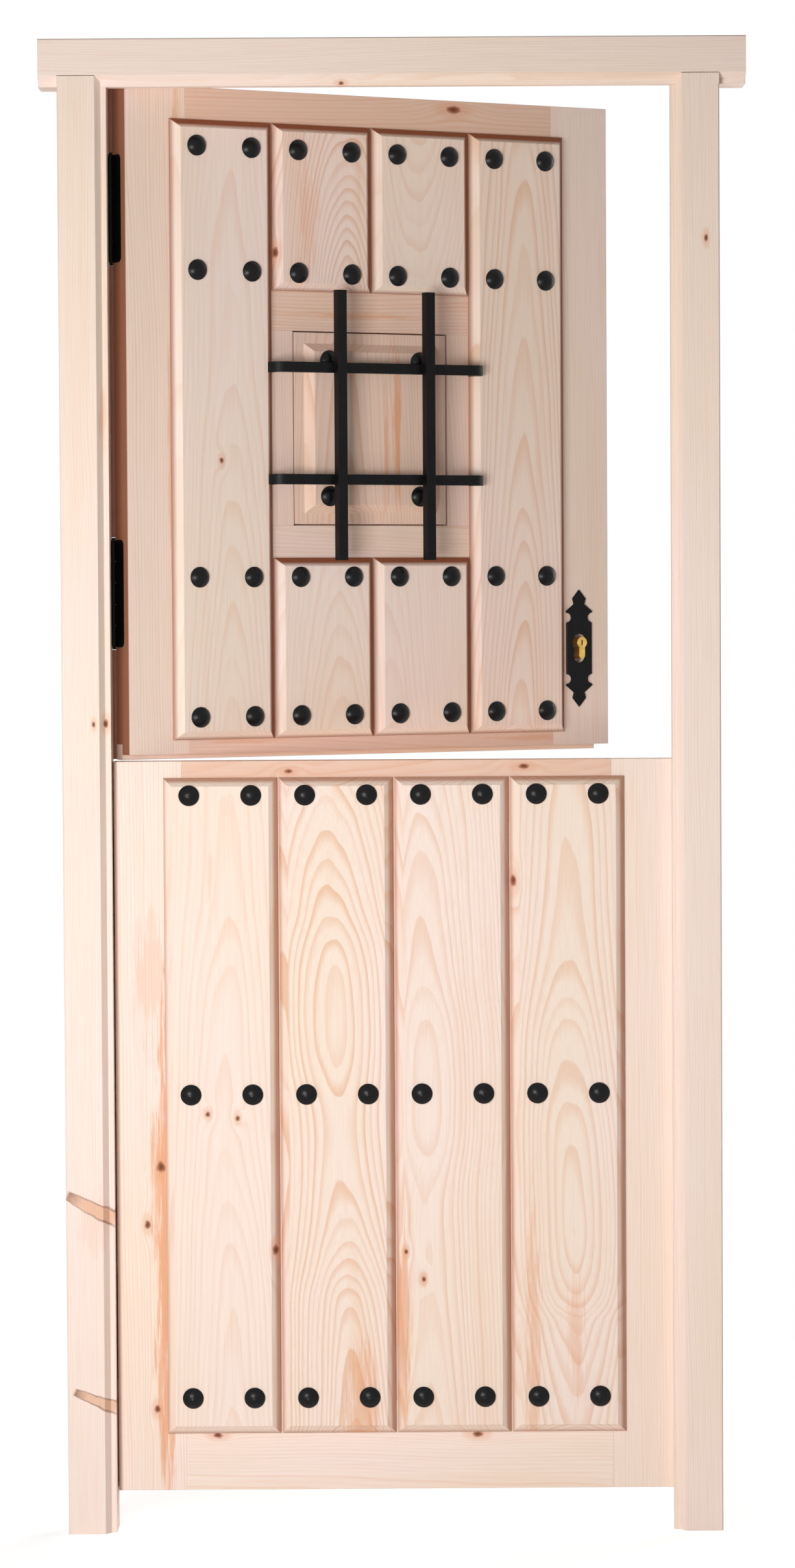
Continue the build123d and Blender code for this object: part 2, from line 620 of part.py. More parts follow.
def build_lock():
    """The mortise lock in the upper leaf's lock stile, and the solids cut from that stile."""
    left, right = LEAF_LEFT + CASE_BACK, LEAF_RIGHT
    half = CASE_THICKNESS / 2
    body_low = (left, LOCK_Y - half, CASE_BOTTOM)
    body_high = (right - FOREND_THICKNESS, LOCK_Y + half, CASE_TOP)
    forend_low = (right - FOREND_THICKNESS, LOCK_Y - FOREND_WIDTH / 2, FOREND_BOTTOM)
    forend_high = (right, LOCK_Y + FOREND_WIDTH / 2, FOREND_TOP)
    case_body = joined([block(body_low, body_high), block(forend_low, forend_high)])
    hollow = block(
        (left + CASE_WALL, LOCK_Y - half + CASE_WALL, CASE_BOTTOM + CASE_WALL),
        (right - FOREND_THICKNESS, LOCK_Y + half - CASE_WALL, CASE_TOP - CASE_WALL),
    )
    bolt_low = (LEAF_LEFT + BOLT_TAIL, LOCK_Y - BOLT_THICKNESS / 2, BOLT_BOTTOM)
    bolt_high = (right, LOCK_Y + BOLT_THICKNESS / 2, BOLT_TOP)
    room = BOLT_ROOM
    bolt_way = block(
        (right - 2 * FOREND_THICKNESS, bolt_low[1] - room, bolt_low[2] - room),
        (right + 1, bolt_high[1] + room, bolt_high[2] + room),
    )
    front_face = LEAF_FRONT - PLATE_THICKNESS - CYLINDER_PROUD[0]
    rear_face = LEAF_REAR + PLATE_THICKNESS + CYLINDER_PROUD[1]
    cylinder_depth = (front_face, rear_face)
    cylinder_hole = keyhole(CYLINDER_SPOT, CYLINDER_RADIUS + 0.2, CYLINDER_LOBE + 0.4, CYLINDER_DROP + 0.2,
                            cylinder_depth)
    forend_heads = [(right, LOCK_Y, z) for z in (FOREND_BOTTOM + 12, FOREND_TOP - 12)]
    forend_holes = large_screws(forend_heads, (-1, 0, 0), SCREW_ROOM)
    write(cut(case_body, [hollow, bolt_way, cylinder_hole, *forend_holes]), "lock_case", upper=True)
    write(block(bolt_low, bolt_high), "deadbolt", upper=True)

    axis_x, axis_z = LEAF_LEFT + CYLINDER_SPOT[0], CYLINDER_SPOT[1]
    gap_front, gap_rear = LOCK_Y - CAM_GAP / 2, LOCK_Y + CAM_GAP / 2
    with BuildPart() as cylinder:
        add(keyhole(CYLINDER_SPOT, CYLINDER_RADIUS, CYLINDER_LOBE, CYLINDER_DROP, cylinder_depth))
        start, end = (axis_x, cylinder_depth[0] - 1, axis_z), (axis_x, cylinder_depth[1] + 1, axis_z)
        add(rod(start, end, PLUG_RADIUS + PIN_ROOM), mode=Mode.SUBTRACT)
        cam_space = rod((axis_x, gap_front, axis_z), (axis_x, gap_rear, axis_z), CAM_REACH + CAM_ROOM)
        add(cam_space, mode=Mode.SUBTRACT)
    write(cylinder.part, "cylinder_body", upper=True)

    cam_front, cam_rear = LOCK_Y - CAM_WIDTH / 2, LOCK_Y + CAM_WIDTH / 2
    width, height, depth = KEYWAY
    plugs = []
    for face, inner in ((cylinder_depth[0], cam_front), (cylinder_depth[1], cam_rear)):
        plug = rod((axis_x, face, axis_z), (axis_x, inner, axis_z), PLUG_RADIUS)
        deep = face + depth if inner > face else face - depth
        low = (axis_x - width / 2, min(face, deep), axis_z - height / 2)
        plugs.append(cut(plug, [block(low, (axis_x + width / 2, max(face, deep), axis_z + height / 2))]))
    write(joined(plugs), "cylinder_plugs", upper=True)
    with BuildPart() as cam:
        with BuildSketch(Plane(origin=(axis_x, cam_front, axis_z), x_dir=(1, 0, 0), z_dir=(0, 1, 0))):
            Circle(CAM_HUB)
            with Locations((0, CAM_REACH / 2 - 0.5)):
                Rectangle(CAM_WIDTH, CAM_REACH - 1)
        extrude(amount=CAM_WIDTH)
    write(cam.part, "lock_cam", upper=True)

    hole_spot = (CYLINDER_SPOT[0] + KEYHOLE_SHIFT, CYLINDER_SPOT[1])
    through = (LEAF_FRONT - PLATE_THICKNESS - 1, LEAF_REAR + PLATE_THICKNESS + 1)
    hole = keyhole(hole_spot, KEYHOLE_RADIUS, KEYHOLE_SLOT, KEYHOLE_DROP, through)
    outer_faces = (LEAF_FRONT - PLATE_THICKNESS, LEAF_FRONT, True)
    return {
        "mortise": [case_body, hole, *forend_holes],
        "hole": hole,
        "forend_heads": forend_heads,
        "outer_faces": outer_faces,
    }


def window_rebate():
    """The room-side rebate that the shutter's lip closes into."""
    reach = SHUTTER_LIP + SHUTTER_LIP_GAP
    across = (SHUTTER_LEFT - reach, SHUTTER_RIGHT + SHUTTER_LIP + REBATE_FREE_ROOM)
    return leaf_block(across, (LIP_FRONT, LEAF_REAR + 1), (SHUTTER_BOTTOM - reach, SHUTTER_TOP + reach))


def build_upper_leaf():
    """The upper leaf's timbers, planks, studs and hinge flaps, with its lock."""
    lock = build_lock()
    top_rail = (UPPER_TOP - TOP_RAIL, UPPER_TOP)
    bottom_rail = (UPPER_BOTTOM, UPPER_BOTTOM + BOTTOM_RAIL)
    window_rails = ((WINDOW_BOTTOM - WINDOW_RAIL, WINDOW_BOTTOM), (WINDOW_TOP, WINDOW_TOP + WINDOW_RAIL))
    lip_low = UPPER_BOTTOM - LIP_DROP
    lip = leaf_block((0, LEAF_WIDTH - LIP_END_STEP), (LEAF_REAR - LIP_THICKNESS, LEAF_REAR),
                     (lip_low, lip_low + LIP_HEIGHT))
    write(lip, "meeting_lip", upper=True)
    hinge_stile, lock_stile = stiles(UPPER_BOTTOM, UPPER_TOP, (top_rail, bottom_rail, *window_rails))
    pockets = [hinge_plate(1, middle) for middle in UPPER_HINGES]
    write(cut(hinge_stile, [lip, *pockets]), "upper_hinge_stile", upper=True)
    write(cut(lock_stile, [lip, *lock["mortise"]]), "upper_lock_stile", upper=True)
    write(rail(*top_rail), "upper_top_rail", upper=True)
    write(cut(rail(*bottom_rail), [lip]), "upper_bottom_rail", upper=True)

    rebate = window_rebate()
    for (low, high), name in zip(window_rails, ("window_bottom_rail", "window_top_rail")):
        write(cut(rail(low, high, BACK_THICKNESS), [rebate]), name, upper=True)
    depth = (LEAF_FRONT, BACK_REAR)
    inside = (STILE, LEAF_WIDTH - STILE)
    write(leaf_block(inside, depth, (bottom_rail[1], window_rails[0][0])), "lower_panel", upper=True)
    write(leaf_block(inside, depth, (window_rails[1][1], top_rail[0])), "upper_panel", upper=True)
    sides = ((inside[0], WINDOW_LEFT), (WINDOW_RIGHT, inside[1]))
    side_panels = [cut(leaf_block(span, depth, (WINDOW_BOTTOM, WINDOW_TOP)), [rebate]) for span in sides]
    write(joined(side_panels), "window_side_panels", upper=True)

    spans = {
        "upper_plank_1": (0, UPPER_PLANK_FOOT, UPPER_PLANK_HEAD),
        "upper_plank_2_above": (1, SHORT_PLANK_UPPER_FOOT, UPPER_PLANK_HEAD),
        "upper_plank_2_below": (1, UPPER_PLANK_FOOT, SHORT_PLANK_LOWER_HEAD),
        "upper_plank_3_above": (2, SHORT_PLANK_UPPER_FOOT, UPPER_PLANK_HEAD),
        "upper_plank_3_below": (2, UPPER_PLANK_FOOT, SHORT_PLANK_LOWER_HEAD),
        "upper_plank_4": (3, UPPER_PLANK_FOOT, UPPER_PLANK_HEAD),
    }
    for name, span in spans.items():
        write(plank(*span), name, upper=True)
    write(plank_studs(UPPER_STUD_ROWS), "upper_studs", upper=True)
    write(joined([hinge_flap(1, middle) for middle in UPPER_HINGES]), "upper_hinge_flaps", upper=True)

    write(keyhole_plate(lock["outer_faces"], lock["hole"]), "outer_keyhole_plate", upper=True)
    inner_faces = (LEAF_REAR, LEAF_REAR + PLATE_THICKNESS, False)
    write(keyhole_plate(inner_faces, lock["hole"]), "inner_keyhole_plate", upper=True)
    return lock


def build_grille():
    """Two uprights in front of two crossbars whose ends bend back onto the outer planks."""
    upright_front = LEAF_FRONT - BAR_STAND_OFF - BAR_DEPTH
    bar_rear = LEAF_FRONT - BAR_STAND_OFF
    for side, name in ((-1, "grille_upright_left"), (1, "grille_upright_right")):
        middle = PLANK_CENTRE + side * BAR_OFFSET
        across = (middle - BAR_WIDTH / 2, middle + BAR_WIDTH / 2)
        write(leaf_block(across, (upright_front, bar_rear), (BAR_BOTTOM, BAR_TOP)), name, upper=True)

    line_y = bar_rear + BAR_DEPTH / 2
    left = LEAF_LEFT + PLANK_CENTRE - CROSSBAR_REACH
    right = LEAF_LEFT + PLANK_CENTRE + CROSSBAR_REACH
    planks = [plank(index, UPPER_PLANK_FOOT, UPPER_PLANK_HEAD) for index in (0, 3)]
    for height, name in zip(CROSSBAR_HEIGHTS, ("grille_crossbar_lower", "grille_crossbar_upper")):
        with BuildPart() as bar:
            with BuildSketch(Plane.XY.offset(height - BAR_WIDTH / 2)):
                with BuildLine():
                    ends = [(left, LEAF_FRONT), (left, line_y), (right, line_y), (right, LEAF_FRONT)]
                    FilletPolyline(*ends, radius=CROSSBAR_BEND)
                trace(line_width=BAR_DEPTH)
            extrude(amount=BAR_WIDTH)
            for solid in planks:
                add(solid, mode=Mode.SUBTRACT)
        write(bar.part, name, upper=True)


def small_screw_heads(fixed):
    """Where the screws of the shutter's fixed or moving flaps have their heads."""
    side = -1 if fixed else 1
    across = LEAF_LEFT + SMALL_PIN_A + side * SMALL_HINGE_WIDTH * 0.62
    heights = [SHUTTER_CENTRE_Z + end * SMALL_HINGE_OFFSET + step for end in (-1, 1) for step in (-16, 16)]
    return [(across, BACK_REAR + SMALL_FLAP, z) for z in heights]


def small_screws(heads, room=0.0):
    """Small countersunk screws driven towards the street side, or their holes."""
    head, shank = SMALL_SCREW_HEAD + room, SMALL_SCREW_SHANK + room
    return [screw(place, (0, -1, 0), head, shank, SMALL_SCREW_LENGTH) for place in heads]


def small_flap(side, middle):
    """A flap of a shutter hinge, flat on the room side. Side is -1 on the leaf and 1 on the shutter."""
    step = SMALL_HINGE_HEIGHT / 3
    bottom = middle - SMALL_HINGE_HEIGHT / 2
    pin_x = LEAF_LEFT + SMALL_PIN_A
    far = pin_x + side * SMALL_HINGE_WIDTH
    near = pin_x + side * SHUTTER_LIP_GAP / 2
    with BuildPart() as piece:
        add(block((min(near, far), BACK_REAR, bottom), (max(near, far), BACK_REAR + SMALL_FLAP,
                  bottom + SMALL_HINGE_HEIGHT)))
        for index in range(3):
            low, high = bottom + index * step, bottom + (index + 1) * step
            own = (index != 1) == (side < 0)
            if own:
                start, end = low + KNUCKLE_END_GAP, high - KNUCKLE_END_GAP
                add(rod((pin_x, SMALL_PIN_Y, start), (pin_x, SMALL_PIN_Y, end), SMALL_KNUCKLE))
            else:
                start = (pin_x, SMALL_PIN_Y, low - KNUCKLE_END_GAP)
                end = (pin_x, SMALL_PIN_Y, high + KNUCKLE_END_GAP)
                add(rod(start, end, SMALL_KNUCKLE + KNUCKLE_ROOM), mode=Mode.SUBTRACT)
        start, end = (pin_x, SMALL_PIN_Y, bottom - 1), (pin_x, SMALL_PIN_Y, bottom + SMALL_HINGE_HEIGHT + 1)
        add(rod(start, end, SMALL_PIN + PIN_ROOM), mode=Mode.SUBTRACT)
        for tool in small_screws(small_screw_heads(side < 0), SCREW_ROOM):
            add(tool, mode=Mode.SUBTRACT)
    return piece.part


def build_shutter():
    """The shutter with its raised field and studs, its hinges and the button that holds it shut."""
    body = leaf_block((SHUTTER_LEFT, SHUTTER_RIGHT), (LEAF_FRONT, BACK_REAR), (SHUTTER_BOTTOM, SHUTTER_TOP))
    lip = leaf_block(
        (SHUTTER_LEFT - SHUTTER_LIP, SHUTTER_RIGHT + SHUTTER_LIP),
        (LIP_FRONT + SHUTTER_LIP_GAP / 2, BACK_REAR),
        (SHUTTER_BOTTOM - SHUTTER_LIP, SHUTTER_TOP + SHUTTER_LIP),
    )
    field_low = LEAF_FRONT - FIELD_HEIGHT
    with BuildPart() as field:
        across = (SHUTTER_LEFT + FIELD_MARGIN, SHUTTER_RIGHT - FIELD_MARGIN)
        heights = (SHUTTER_BOTTOM + FIELD_MARGIN, SHUTTER_TOP - FIELD_MARGIN)
        add(leaf_block(across, (field_low, LEAF_FRONT + 1), heights))
        chamfer(field.faces().sort_by(Axis.Y)[0].edges(), FIELD_BEVEL)
    write(joined([body, lip, field.part]), "shutter", upper=True)
    shift_a, shift_z = SHUTTER_STUD_OFFSET
    spots = [(PLANK_CENTRE + i * shift_a, SHUTTER_CENTRE_Z + j * shift_z) for i in (-1, 1) for j in (-1, 1)]
    write(joined([stud(across, field_low, z) for across, z in spots]), "shutter_studs", upper=True)

    middles = [SHUTTER_CENTRE_Z + end * SMALL_HINGE_OFFSET for end in (-1, 1)]
    write(joined([small_flap(-1, middle) for middle in middles]), "shutter_fixed_flaps", upper=True)
    write(joined([small_flap(1, middle) for middle in middles]), "shutter_moving_flaps", upper=True)
    pin_x, half = LEAF_LEFT + SMALL_PIN_A, SMALL_HINGE_HEIGHT / 2
    pins = [rod((pin_x, SMALL_PIN_Y, m - half), (pin_x, SMALL_PIN_Y, m + half), SMALL_PIN) for m in middles]
    write(joined(pins), "shutter_hinge_pins", upper=True)
    write(joined(small_screws(small_screw_heads(False))), "shutter_screws", upper=True)

    pivot = (LEAF_LEFT + SHUTTER_RIGHT + BUTTON_OFFSET, BACK_REAR + 0.5 + BUTTON_THICKNESS, SHUTTER_CENTRE_Z)
    with BuildPart() as button:
        with BuildSketch(Plane(origin=pivot, x_dir=(0, 0, 1), z_dir=(0, -1, 0))):
            SlotOverall(BUTTON_LENGTH, BUTTON_WIDTH)
        extrude(amount=BUTTON_THICKNESS)
        add(large_screws([pivot], (0, -1, 0), SCREW_ROOM)[0], mode=Mode.SUBTRACT)
    write(button.part, "shutter_button", upper=True)
    return pivot


def build_upper_screws(lock, button_pivot):
    """Every screw that is driven into the upper leaf itself."""
    screws = hinge_screws(1, UPPER_HINGES)
    screws += large_screws(lock["forend_heads"], (-1, 0, 0))
    screws += small_screws(small_screw_heads(True))
    screws += large_screws([button_pivot], (0, -1, 0))
    write(joined(screws), "upper_leaf_screws", upper=True)


def build_lower_leaf():
    """The lower leaf's timbers, planks, studs, hinge flaps and barrel bolt."""
    top_rail = (LOWER_TOP - LOWER_TOP_RAIL, LOWER_TOP)
    bottom_rail = (LOWER_BOTTOM, LOWER_BOTTOM + LOWER_BOTTOM_RAIL)
    hinge_stile, lock_stile = stiles(LOWER_BOTTOM, LOWER_TOP, (top_rail, bottom_rail))
    pockets = [hinge_plate(1, middle) for middle in LOWER_HINGES]
    write(cut(hinge_stile, pockets), "lower_hinge_stile")
    write(lock_stile, "lower_lock_stile")
    write(rail(*top_rail), "lower_top_rail")
    write(rail(*bottom_rail), "lower_bottom_rail")
    width = (LEAF_WIDTH - 2 * STILE) / 4
    lefts = [STILE + index * width for index in range(4)]
    depth, heights = (LEAF_FRONT, BACK_REAR), (bottom_rail[1], top_rail[0])
    boards = [leaf_block((left + 0.5, left + width - 0.5), depth, heights) for left in lefts]
    write(joined(boards), "lower_back_boards")
    for index in range(4):
        write(plank(index, LOWER_PLANK_FOOT, LOWER_PLANK_HEAD), f"lower_plank_{index + 1}")
    write(plank_studs(LOWER_STUD_ROWS), "lower_studs")
    write(joined([hinge_flap(1, middle) for middle in LOWER_HINGES]), "lower_hinge_flaps")

    plate_rear = LEAF_REAR + SLIDE_PLATE_THICKNESS
    rod_y = LEAF_REAR + ROD_AXIS_RISE
    half = SLIDE_PLATE_HEIGHT / 2
    centre = LEAF_LEFT + sum(SLIDE_PLATE) / 2
    heads = [(centre + i, plate_rear, SLIDE_Z + j) for i in (-14, 14) for j in (-14, 14)]
    with BuildPart() as base:
        add(leaf_block(SLIDE_PLATE, (LEAF_REAR, plate_rear), (SLIDE_Z - half, SLIDE_Z + half)))
        for left in (SLIDE_PLATE[0] + 2, SLIDE_PLATE[1] - 2 - GUIDE_WIDTH):
            height = (SLIDE_Z - GUIDE_HEIGHT / 2, SLIDE_Z + GUIDE_HEIGHT / 2)
            add(leaf_block((left, left + GUIDE_WIDTH), (LEAF_REAR, plate_rear + GUIDE_DEPTH), height))
        start, end = LEAF_LEFT + SLIDE_PLATE[0], LEAF_LEFT + SLIDE_PLATE[1]
        bore = rod((start, rod_y, SLIDE_Z), (end, rod_y, SLIDE_Z), ROD_RADIUS + PIN_ROOM)
        add(bore, mode=Mode.SUBTRACT)
        for hole in large_screws(heads, (0, -1, 0), SCREW_ROOM):
            add(hole, mode=Mode.SUBTRACT)
    write(base.part, "bolt_base")
    tail, tip = (LEAF_LEFT + ROD_TAIL, rod_y, SLIDE_Z), (LEAF_LEFT + ROD_TIP, rod_y, SLIDE_Z)
    knob_x, knob_y = LEAF_LEFT + KNOB_SPOT, rod_y + KNOB_REACH
    with BuildPart() as slide_rod:
        add(rod(tail, tip, ROD_RADIUS))
        add(rod((knob_x, rod_y, SLIDE_Z), (knob_x, knob_y, SLIDE_Z), KNOB_STEM))
        with Locations((knob_x, knob_y, SLIDE_Z)):
            Sphere(KNOB_BALL)
    write(slide_rod.part, "bolt_rod")
    screws = hinge_screws(1, LOWER_HINGES)
    screws += large_screws(heads, (0, -1, 0))
    write(joined(screws), "lower_leaf_screws")


build_frame()
upper_lock = build_upper_leaf()
build_grille()
shutter_pivot = build_shutter()
build_upper_screws(upper_lock, shutter_pivot)
build_lower_leaf()
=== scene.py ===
import json
import math
import random

import bpy
from mathutils import Matrix, Vector


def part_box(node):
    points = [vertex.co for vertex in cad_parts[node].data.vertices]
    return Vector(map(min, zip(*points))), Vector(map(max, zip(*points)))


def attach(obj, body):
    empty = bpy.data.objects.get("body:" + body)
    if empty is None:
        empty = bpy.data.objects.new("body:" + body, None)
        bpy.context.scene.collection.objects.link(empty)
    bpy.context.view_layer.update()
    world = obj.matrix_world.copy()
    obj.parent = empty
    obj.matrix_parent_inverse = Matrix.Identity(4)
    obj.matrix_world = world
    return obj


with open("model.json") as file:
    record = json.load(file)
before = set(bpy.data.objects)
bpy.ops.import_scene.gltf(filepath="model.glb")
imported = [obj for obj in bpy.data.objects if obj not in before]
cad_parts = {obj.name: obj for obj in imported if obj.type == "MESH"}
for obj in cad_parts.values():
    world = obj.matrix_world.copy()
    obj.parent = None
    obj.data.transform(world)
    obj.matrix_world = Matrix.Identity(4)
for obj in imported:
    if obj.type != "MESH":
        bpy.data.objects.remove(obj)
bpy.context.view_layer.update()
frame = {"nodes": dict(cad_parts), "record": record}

# The upper leaf's opening at rest and the line of its hinge pins, in metres
OPENING = math.radians(29.5)
PIN = (-0.402, 0.0766, 0.0)

# The planks' middles across the closed leaves and half their width, in metres
PLANK_MIDDLES = {"1": -0.24775, "2": -0.08125, "3": 0.08525, "4": 0.25175}
PLANK_HALF = 0.082


def srgb(red, green, blue):
    """A linear colour from 8-bit values."""
    channels = []
    for value in (red, green, blue):
        value /= 255
        channels.append(value / 12.92 if value <= 0.04045 else ((value + 0.055) / 1.055) ** 2.4)
    return (*channels, 1.0)


class Graph:
    """Short ways to add nodes to a tree."""

    def __init__(self, tree):
        self.tree = tree

    def feed(self, socket, value):
        """Links a socket to another, or sets its value."""
        if isinstance(value, bpy.types.NodeSocket):
            self.tree.links.new(value, socket)
        else:
            socket.default_value = value

    def node(self, kind, inputs=None, **settings):
        made = self.tree.nodes.new(kind)
        for name, value in settings.items():
            setattr(made, name, value)
        for key, value in (inputs or {}).items():
            self.feed(made.inputs[key], value)
        return made

    def math(self, operation, *values, clamp=False):
        made = self.node("ShaderNodeMath", operation=operation, use_clamp=clamp)
        for socket, value in zip(made.inputs, values):
            self.feed(socket, value)
        return made.outputs[0]

    def plus(self, first, second):
        return self.math("ADD", first, second)

    def minus(self, first, second):
        return self.math("SUBTRACT", first, second)

    def times(self, first, second):
        return self.math("MULTIPLY", first, second)

    def over(self, first, second):
        return self.math("DIVIDE", first, second)

    def times_plus(self, first, second, third):
        """The product of the first two, and the third added."""
        return self.math("MULTIPLY_ADD", first, second, third)

    def larger(self, first, second):
        return self.math("MAXIMUM", first, second)

    def smaller(self, first, second):
        return self.math("MINIMUM", first, second)

    def rise(self, value, low, high):
        """A smooth rise from 0 at low to 1 at high."""
        inputs = {"Value": value, "From Min": low, "From Max": high}
        return self.node("ShaderNodeMapRange", inputs, interpolation_type="SMOOTHSTEP").outputs["Result"]

    def fall(self, value, low, high):
        """A smooth fall from 1 at low to 0 at high."""
        return self.minus(1.0, self.rise(value, low, high))

    def vector(self, x, y, z):
        return self.node("ShaderNodeCombineXYZ", {"X": x, "Y": y, "Z": z}).outputs[0]

    def noise(self, vector, scale=1.0, detail=2.0, roughness=0.5):
        inputs = {"Vector": vector, "Scale": scale, "Detail": detail, "Roughness": roughness}
        return self.node("ShaderNodeTexNoise", inputs).outputs["Fac"]

    def centred(self, noise):
        """A noise that swings about 0."""
        return self.minus(noise, 0.5)

    def mix(self, factor, first, second):
        made = self.node("ShaderNodeMix", data_type="RGBA")
        self.feed(made.inputs["Factor"], factor)
        self.feed(made.inputs[6], first)
        self.feed(made.inputs[7], second)
        return made.outputs[2]

    def object_point(self):
        return self.node("ShaderNodeTexCoord").outputs["Object"]

    def seen_directly(self):
        """1 for rays from the camera, from gloss and through glass, and 0 for the light that falls on things."""
        path = self.node("ShaderNodeLightPath").outputs
        return self.larger(self.larger(path["Is Camera Ray"], path["Is Glossy Ray"]), path["Is Transmission Ray"])

    def relief(self, shader, arris, strength, distance, height):
        """Rounds the arrises in the shading and adds a bump to them."""
        soft = self.node("ShaderNodeBevel", {"Radius": arris}, samples=4)
        inputs = {"Strength": strength, "Distance": distance, "Height": height, "Normal": soft.outputs[0]}
        self.feed(shader.inputs["Normal"], self.node("ShaderNodeBump", inputs).outputs[0])


# The sockets of the group that makes growth rings from where a board's pith lies
GROUP_INPUTS = (
    "Along", "Across", "Depth", "Bend", "Pith Across", "Pith Depth", "Tilt Across", "Tilt Depth", "Ring", "Seed",
    "Wander",
)
GROUP_OUTPUTS = ("Late", "Fibre", "Tone", "Streak")

# How fast the rings' noises change per metre, along the grain and then over it
WANDER_RATE = 1.7
RIPPLE_RATES = (3.2, 17.0)
FIBRE_RATES = (9.0, 520.0)
TONE_RATES = (1.6, 6.0)
STREAK_RATES = (0.9, 26.0)
# Places in the noises that keep two uses of one noise apart
WANDER_SHIFTS = (0.0, 11.3)
UNEVEN_SHIFT = 4.0
# How far the rings ripple, in metres
RIPPLE_REACH = 0.009
# How fast the ring widths vary per metre of radius, and by how many rings
UNEVEN_RATE, UNEVEN_REACH = 70.0, 1.6
# Where in a ring the late wood darkens and ends, how dark the palest year is, and how sharply it darkens
LATE_RISE, LATE_FALL = (0.30, 0.93), (0.94, 1.0)
PALEST_YEAR = 0.45
LATE_POWER = 1.35
STREAK_RISE = (0.56, 0.74)


def make_ring_group():
    tree = bpy.data.node_groups.new("pine_rings", "ShaderNodeTree")
    for name in GROUP_INPUTS:
        tree.interface.new_socket(name, in_out="INPUT", socket_type="NodeSocketFloat")
    for name in GROUP_OUTPUTS:
        tree.interface.new_socket(name, in_out="OUTPUT", socket_type="NodeSocketFloat")
    graph = Graph(tree)
    given = graph.node("NodeGroupInput").outputs
    result = graph.node("NodeGroupOutput").inputs
    along, across, depth, seed = given["Along"], given["Across"], given["Depth"], given["Seed"]

    # The pith wanders as it runs up the tree
    slow = graph.times(along, WANDER_RATE)
    wanders = []
    for shift in WANDER_SHIFTS:
        noise = graph.noise(graph.vector(slow, graph.plus(seed, shift), shift), detail=1.0)
        wanders.append(graph.times(graph.centred(noise), given["Wander"]))
    offsets = []
    places = ((across, "Pith Across", "Tilt Across"), (depth, "Pith Depth", "Tilt Depth"))
    for (place, pith, tilt), wander in zip(places, wanders):
        centre = graph.times_plus(along, given[tilt], given[pith])
        offsets.append(graph.minus(place, graph.plus(centre, wander)))
    squares = [graph.times(offset, offset) for offset in offsets]
    radius = graph.math("SQRT", graph.plus(*squares))
    rate_along, rate_over = RIPPLE_RATES
    spot = graph.vector(graph.times(along, rate_along), graph.times(across, rate_over),
                        graph.times_plus(depth, rate_over, seed))
    ripple = graph.times_plus(graph.centred(graph.noise(spot)), RIPPLE_REACH, given["Bend"])
    radius = graph.plus(radius, ripple)

    # Ring widths differ from year to year, and so does the late wood's strength
    uneven = graph.noise(graph.vector(graph.times(radius, UNEVEN_RATE), seed, UNEVEN_SHIFT), detail=1.0)
    phase = graph.times_plus(graph.centred(uneven), UNEVEN_REACH, graph.over(radius, given["Ring"]))
    part = graph.math("FRACT", phase)
    band = graph.times(graph.rise(part, *LATE_RISE), graph.fall(part, *LATE_FALL))
    year = graph.node("ShaderNodeTexWhiteNoise", {"W": graph.math("FLOOR", phase)}, noise_dimensions="1D")
    strength = graph.times_plus(year.outputs["Value"], 1 - PALEST_YEAR, PALEST_YEAR)
    graph.feed(result["Late"], graph.math("POWER", graph.times(band, strength), LATE_POWER))

    rate_along, rate_over = FIBRE_RATES
    thread = graph.vector(graph.times(along, rate_along), graph.times(across, rate_over),
                          graph.times(depth, rate_over))
    graph.feed(result["Fibre"], graph.noise(thread, detail=3.0, roughness=0.65))
    rate_along, rate_over = TONE_RATES
    wide = graph.vector(graph.times_plus(along, rate_along, seed), graph.times(across, rate_over),
                        graph.times(depth, rate_over))
    graph.feed(result["Tone"], graph.noise(wide))
    rate_along, rate_over = STREAK_RATES
    long = graph.vector(graph.times_plus(along, rate_along, seed), graph.times(across, rate_over),
                        graph.times_plus(depth, rate_over, seed))
    graph.feed(result["Streak"], graph.rise(graph.noise(long), *STREAK_RISE))
    return tree


RINGS = make_ring_group()

# Colours of the pine, as pairs from a paler to a rosier tone, and of what marks it
EARLY_WOOD = (srgb(250, 230, 213), srgb(252, 232, 221))
LATE_WOOD = (srgb(228, 170, 122), srgb(230, 176, 138))
FIBRE_COLOUR = srgb(226, 178, 142)
STREAK_COLOUR = srgb(238, 184, 140)
# A warmer, darker tone: partly the timber's own and partly painted shade
WARM_AND_SHADE_COLOUR = srgb(218, 148, 108)
# Painted shade, used on the hinge beads
PAINTED_SHADE_COLOUR = srgb(150, 88, 52)
# Painted shadow of the jamb on the hinge stiles' edges
EDGE_SHADE_COLOUR = srgb(150, 86, 48)
RESIN_COLOUR = srgb(230, 148, 82)
# Halo, body and heart of a knot, each with how strongly it covers the wood
KNOT_LAYERS = ((0.35, srgb(226, 158, 112)), (0.85, srgb(166, 92, 56)), (0.80, srgb(84, 44, 30)))
BRANCH_WOOD = (0.60, srgb(226, 164, 118))
BRANCH_OUTLINE = (1.3, srgb(104, 58, 40))
# Painted shade in the bevels of the upper and the lower planks: depth where it begins in metres, how much, and the
# colour
UPPER_GROOVE_SHADE = (0.0163, 0.97, srgb(150, 78, 38))
LOWER_GROOVE_SHADE = (0.0190, 0.72, srgb(170, 98, 56))

# How much of the pine's colour its rings, fibres and streaks take up
LATE_AMOUNT, FIBRE_AMOUNT, STREAK_AMOUNT = 0.60, 0.16, 0.20
TONE_RISE, FIBRE_RISE = (0.35, 0.65), (0.38, 0.72)
# The early wood's roughness, how much smoother the late wood is, and the specular level
EARLY_ROUGHNESS, LATE_POLISH = 0.64, 0.12
PINE_SPECULAR = 0.25
# The shares of the rings and the fibres in the pine's relief
LATE_RELIEF, FIBRE_RELIEF = 0.35, 0.65

# The height that the curves of the pith's depth run over, in metres
CURVE_SPAN = 2.2

# How uneven the outlines of knots, streaks and branches are, in units of their half sizes
UNEVEN_OUTLINE = 0.9
